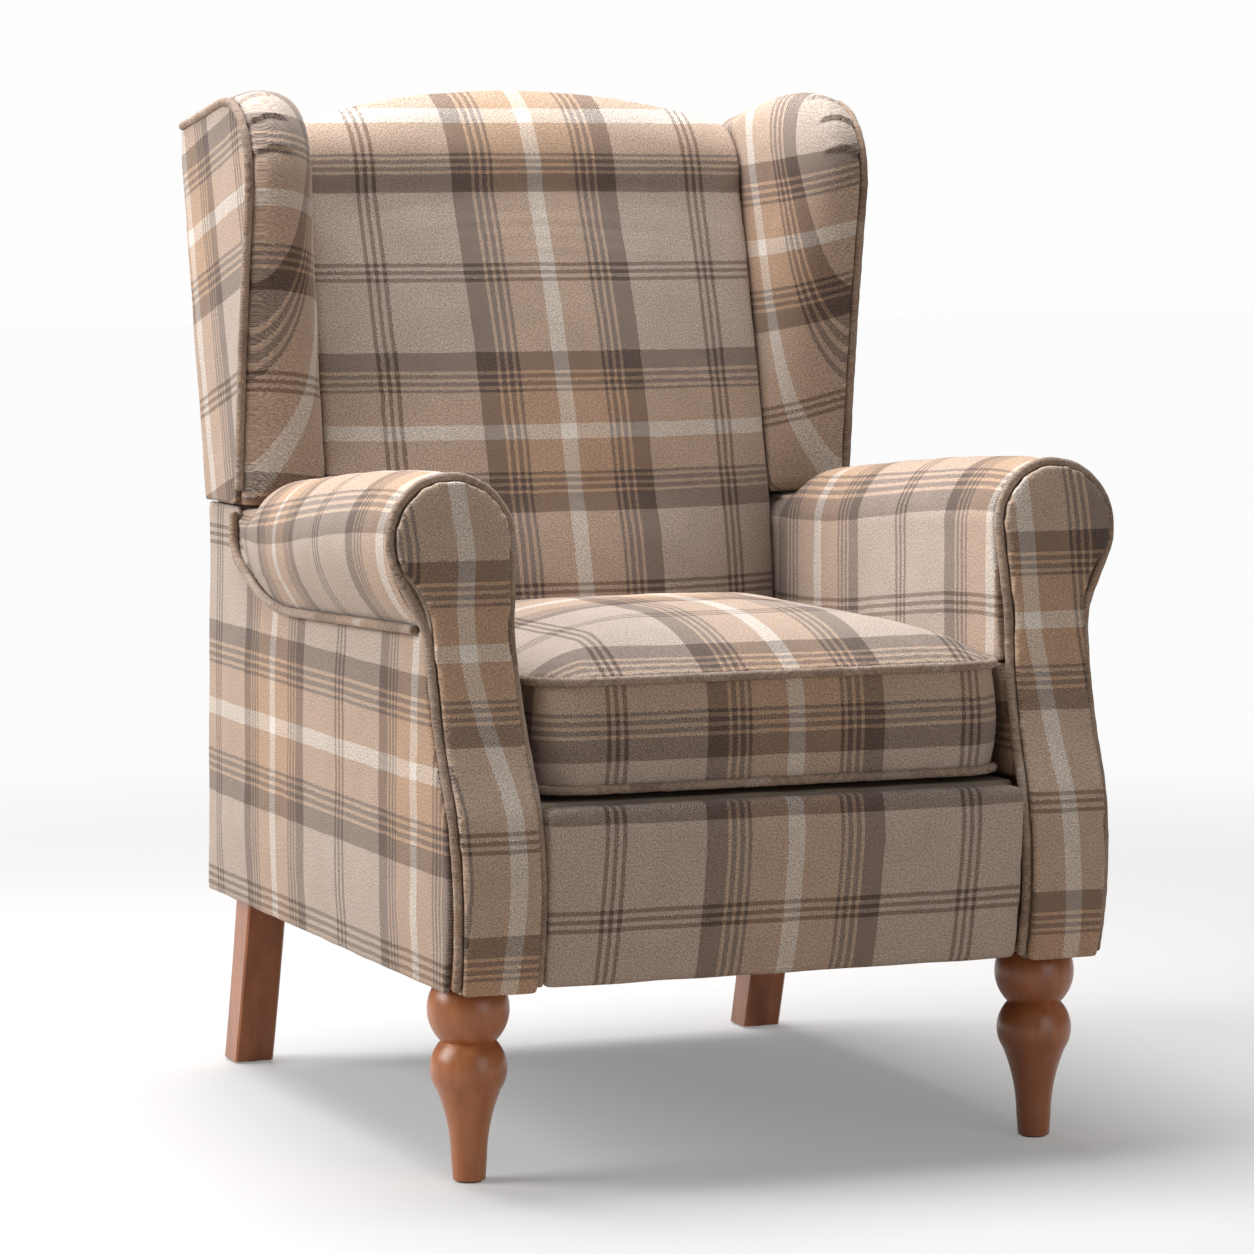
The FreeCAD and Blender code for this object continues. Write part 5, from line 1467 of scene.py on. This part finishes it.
@dataclass
class LooseCushion:
    """The loose box cushion, its two rings of piping and its zip."""

    half: float = 0.2415
    corner: float = 0.032
    front: float = -0.392
    top_seam: float = 0.473
    low_seam: float = 0.365
    rounding: float = 0.052

    def shape(self, points: Points) -> Points:
        """Rounder front corners, and the lower front edge turned up a little off the seat.

        Args:
            points: points of the cover, its piping or its foam.

        Returns:
            The same points, moved.
        """
        x, y, z = points.T
        out = points.copy()
        big, small = self.rounding, self.corner - 0.002
        across = np.abs(x) - (self.half - big)
        ahead = (self.front + big) - y
        angle = np.arctan2(np.maximum(ahead, 0), np.maximum(across, 1e-9))
        cos, sin = np.cos(angle), np.sin(angle)
        inner = big - small
        reach = inner * (cos + sin)
        arc = reach + np.sqrt(np.maximum(reach**2 - 2 * inner**2 + small**2, 0))
        edge = big / np.maximum(cos, sin)
        share = np.where(np.minimum(cos, sin) * edge > inner, big / arc, big / edge)
        corner = (across > 0) & (ahead > 0)
        share = np.where(corner, share, 1.0)
        out[:, 0] = np.where(corner, np.sign(x) * (self.half - big + across * share), x)
        out[:, 1] = np.where(corner, self.front + big - ahead * share, y)
        front = 1 - ease(y, self.front + 0.01, self.front + 0.09)
        out[:, 2] += 0.0065 * front * (1 - ease(z, self.low_seam + 0.004, self.low_seam + 0.06))
        return out

    def bulge(self, points: Points, normals: Points) -> np.ndarray:
        """The border strip's swell between its pipings, and small puckers beside them.

        Args:
            points: points of the panel, as rows.
            normals: the normals there, as rows.

        Returns:
            How far each point moves out.
        """
        x, y, z = points.T
        share = np.clip((z - self.low_seam) / (self.top_seam - self.low_seam), 0, 1)
        level = np.sqrt(np.clip(1 - normals[:, 2] ** 2, 0, 1))
        ahead = ease(-normals[:, 1], 0.05, 0.6)
        side = 4 * share * (1 - share) * ease(level, 0.5, 0.9) * ahead
        run = x + y
        pucker = np.sin(run * 2 * math.pi / 0.021 + 1.5 * np.sin(run * 31))
        pucker = pucker * np.exp(-np.abs(z - self.top_seam) / 0.012)
        narrow = 0.0032 * (1 - ahead) * ease(level, 0.8, 0.95) * (np.abs(x) > 0.23)
        return 0.0042 * side + 0.0006 * pucker - narrow

    def lay(self, points: Points, normals: Points) -> np.ndarray:
        """Args:
            points: points of the panel, as rows.
            normals: the normals there, as rows.

        Returns:
            Places in the check, as rows.
        """
        x, y, z = points.T
        flat = (z > self.top_seam) | (np.abs(normals[:, 2]) > 0.75)
        centre_x = self.half - self.corner
        centre_y = self.front + self.corner
        across = np.abs(x) - centre_x
        ahead = centre_y - y
        angle = np.arctan2(np.maximum(across, 0), np.maximum(ahead, 1e-6))
        strip = np.where(across > 0, centre_x + self.corner * angle, np.abs(x))
        turned = centre_x + self.corner * math.pi / 2 - ahead
        strip = np.where((ahead < 0) & (across > -0.01), turned, strip)
        rear = (normals[:, 1] > 0.7) & ~flat
        strip = np.where(rear, np.abs(x), strip) * np.sign(x)
        top = np.stack([x - 0.016 + 0.02 * (y + 0.4), spread(y, even(self.front - 0.042))], axis=1)
        side = np.stack([strip - 0.016, spread(z, even(0.4885))], axis=1)
        return np.where(flat[:, None], top, side)

    def held(self, points: Points, normals: Points) -> np.ndarray:
        """The seams, and the face that rests on the deck.

        Args:
            points: points of the panel, as rows.
            normals: not used.

        Returns:
            Which points stay.
        """
        x, y, z = points.T
        edge = (np.abs(x) > 0.232) | (y < -0.383) | (y > 0.112)
        seams = edge & ((np.abs(z - self.top_seam) < 0.005) | (z < self.low_seam + 0.01))
        return seams | (z < self.low_seam + 0.002)

    def zip_rows(self) -> None:
        """The zip's tape stays as it is; its teeth are set along it, one row to each side."""
        low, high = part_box("cushion_zip")
        middle = (low.z + high.z) / 2
        face = high.y + 0.0002
        tooth = (0.0013, 0.0026, 0.0012)
        for label, shift in (("upper", 0.0011), ("lower", -0.0011)):
            path = [(x, face, middle + shift) for x in (low.x + 0.004, high.x - 0.004)]
            Row(f"zip_teeth_{label}", "seat_cushion", "zip_metal", path, 0.0026, tooth).build()

    def build(self) -> None:
        """Makes the cushion."""
        Pad(
            "cushion_cloth", ("cushion_cover",), "seat_cushion", self.lay, held=self.held,
            carve=self.bulge, form=self.shape, voxel=0.006, cap=0.009, fill=0.85, smooth=3,
        ).build()
        Piping(
            "cushion_cord_piping", "cushion_piping", "seat_cushion",
            voxel=0.0018, turn=(1.0, -1.0, 1.0), form=self.shape,
        ).build()
        Pad(
            "cushion_foam_core", ("cushion_foam",), "seat_cushion", self.lay, form=self.shape,
            voxel=0.008, fill=0.9, levels=0, slot="foam",
        ).build()
        self.zip_rows()


@dataclass
class Woodwork:
    """Legs, frame and fittings: CAD nodes whose shapes stay and whose finishes are set here."""

    finishes: tuple[tuple[str, tuple[str, ...]], ...] = (
        ("leg_wood", ("front_leg_", "rear_leg_")),
        ("frame_board", ("inside_arm_panels", "wing_boards")),
        ("zinc_steel", ("receiver_screws", "bracket_receivers", "hook_screws", "bracket_hooks")),
        ("zinc_steel", ("seat_springs", "leg_bolts", "tee_nuts")),
        ("clip_nylon", ("spring_clips",)),
        ("glide_nylon", ("glides",)),
        ("elastic_webbing", ("back_webbing",)),
        ("zip_tape", ("cushion_zip",)),
        ("zip_metal", ("zip_slider",)),
        ("lining_cloth", ("facing_boards",)),
    )

    def slot_of(self, node: str) -> str:
        """The slot that a node takes its finish from.

        Args:
            node: the node's name.

        Returns:
            The slot's name.
        """
        for slot, starts in self.finishes:
            if any(node.startswith(start) for start in starts):
                return slot
        return "frame_timber"

    def build(self) -> None:
        """Sets each carried-over node's material."""
        for name, node in sorted(frame["nodes"].items()):
            if node.hide_render:
                continue
            slot = self.slot_of(name)
            node.data.materials.clear()
            node.data.materials.append(FINISHES.made[slot])
            LOG.info("%s keeps its CAD form, finished as %s", name, slot)


@dataclass
class Studio:
    """Pale floor, soft light and the camera."""

    place: tuple[float, float, float] = (-1.8223, -4.6380, 0.9231)
    heading: float = math.radians(21.442)
    pitch: float = math.radians(-5.013)
    roll: float = math.radians(-0.188)
    lens: float = 4909.5 / 1254 * 36

    def camera(self) -> None:
        """Sets the camera where the photograph was taken."""
        ahead = Vector((
            math.sin(self.heading) * math.cos(self.pitch),
            math.cos(self.heading) * math.cos(self.pitch),
            math.sin(self.pitch),
        ))
        level = Vector((math.cos(self.heading), -math.sin(self.heading), 0.0))
        upright = level.cross(ahead)
        right = level * math.cos(self.roll) + upright * math.sin(self.roll)
        up = upright * math.cos(self.roll) - level * math.sin(self.roll)
        data = bpy.data.cameras.new("camera")
        data.lens = self.lens
        data.sensor_fit = "HORIZONTAL"
        data.sensor_width = 36.0
        data.clip_end = 100.0
        camera = bpy.data.objects.new("camera", data)
        camera.matrix_world = Matrix((
            (right.x, up.x, -ahead.x, self.place[0]),
            (right.y, up.y, -ahead.y, self.place[1]),
            (right.z, up.z, -ahead.z, self.place[2]),
            (0.0, 0.0, 0.0, 1.0),
        ))
        bpy.context.scene.collection.objects.link(camera)
        bpy.context.scene.camera = camera

    def lamp(self, name: str, place: Sequence[float], size: float, power: float) -> None:
        """A square soft lamp that faces the chair.

        Args:
            name: its name.
            place: where it stands.
            size: the length of its sides.
            power: its power in watts.
        """
        data = bpy.data.lights.new(name, "AREA")
        data.shape = "SQUARE"
        data.size = size
        data.energy = power
        lamp = bpy.data.objects.new(name, data)
        aim = Vector((0.0, 0.0, 0.5)) - Vector(place)
        facing = aim.to_track_quat("-Z", "Y").to_matrix().to_4x4()
        lamp.matrix_world = Matrix.Translation(place) @ facing
        bpy.context.scene.collection.objects.link(lamp)

    def floor(self) -> None:
        """A wide pale floor that fades to a white glow away from the chair; even beside the chair a
        quarter of that glow is painted light that lifts the shadow under the chair.
        """
        graph = Graph("studio_floor")
        length = {"operation": "LENGTH"}
        spot = graph.add("ShaderNodeVectorMath", length, graph.objects(), output="Value")
        # painted light: the camera sees the floor glow white, a quarter strength by the chair to
        # lighten its cast shadow, all glow from 3.2 m out
        far = spot.ease(0.9, 3.2) * 0.76 + 0.24
        cloud = graph.noise(1.5, 2.0)
        pale = graph.blend(cloud, linear((206, 205, 205)), linear((210, 209, 209)))
        plain = graph.add("ShaderNodeBsdfDiffuse", {}, pale)
        white = graph.add("ShaderNodeEmission", {}, (0.97, 0.97, 0.97, 1.0), 1.0)
        shown = graph.add("ShaderNodeMixShader", {}, far, plain, white)
        bounce = graph.add("ShaderNodeBsdfDiffuse", {}, (0.36, 0.3, 0.25, 1.0))
        seen = graph.add("ShaderNodeLightPath", output="Is Camera Ray")
        seen = seen.maths("MAXIMUM", seen, graph.add("ShaderNodeLightPath", output="Is Glossy Ray"))
        mixed = graph.add("ShaderNodeMixShader", {}, seen, bounce, shown)
        graph.add("ShaderNodeOutputMaterial", {}, mixed)
        mesh = bpy.data.meshes.new("floor")
        reach = 30.0
        corners = [(-reach, -reach, 0), (reach, -reach, 0), (reach, reach, 0), (-reach, reach, 0)]
        mesh.from_pydata(corners, [], [(0, 1, 2, 3)])
        mesh.materials.append(graph.material)
        new_piece("floor", mesh)

    def world(self) -> None:
        """Even white surroundings, dimmer to the chair than to the eye."""
        world = bpy.data.worlds.new("studio")
        bpy.context.scene.world = world
        world.use_nodes = True
        nodes = world.node_tree.nodes
        nodes.clear()
        path = nodes.new("ShaderNodeLightPath")
        mix = nodes.new("ShaderNodeMixShader")
        out = nodes.new("ShaderNodeOutputWorld")
        links = world.node_tree.links
        links.new(path.outputs["Is Camera Ray"], mix.inputs[0])
        shades = (((1.0, 0.94, 0.88, 1.0), 0.2), ((0.985, 0.985, 0.98, 1.0), 1.0))
        for place, (colour, strength) in enumerate(shades, 1):
            light = nodes.new("ShaderNodeBackground")
            light.inputs["Color"].default_value = colour
            light.inputs["Strength"].default_value = strength
            links.new(light.outputs[0], mix.inputs[place])
        links.new(mix.outputs[0], out.inputs[0])

    def build(self) -> None:
        """Sets the whole studio."""
        self.camera()
        self.floor()
        self.world()
        self.lamp("key", (-3.4, 0.6, 2.2), 2.2, 125)
        self.lamp("top", (-0.3, 0.7, 3.3), 2.0, 150)
        self.lamp("fill", (1.4, -4.0, 1.2), 2.4, 31)
        bpy.context.scene.view_settings.view_transform = "Standard"


def main() -> None:
    """Builds the chair's pieces in order."""
    logging.basicConfig(level=logging.INFO, format="%(message)s")
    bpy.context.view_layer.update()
    FINISHES.build()
    Studio().build()
    for part in (ArmFronts(), Arms(), SeatBox(), BackRest(), LooseCushion(), Woodwork()):
        part.build()
        LOG.info("%s is dressed", type(part).__name__)


if __name__ == "__main__":
    main()
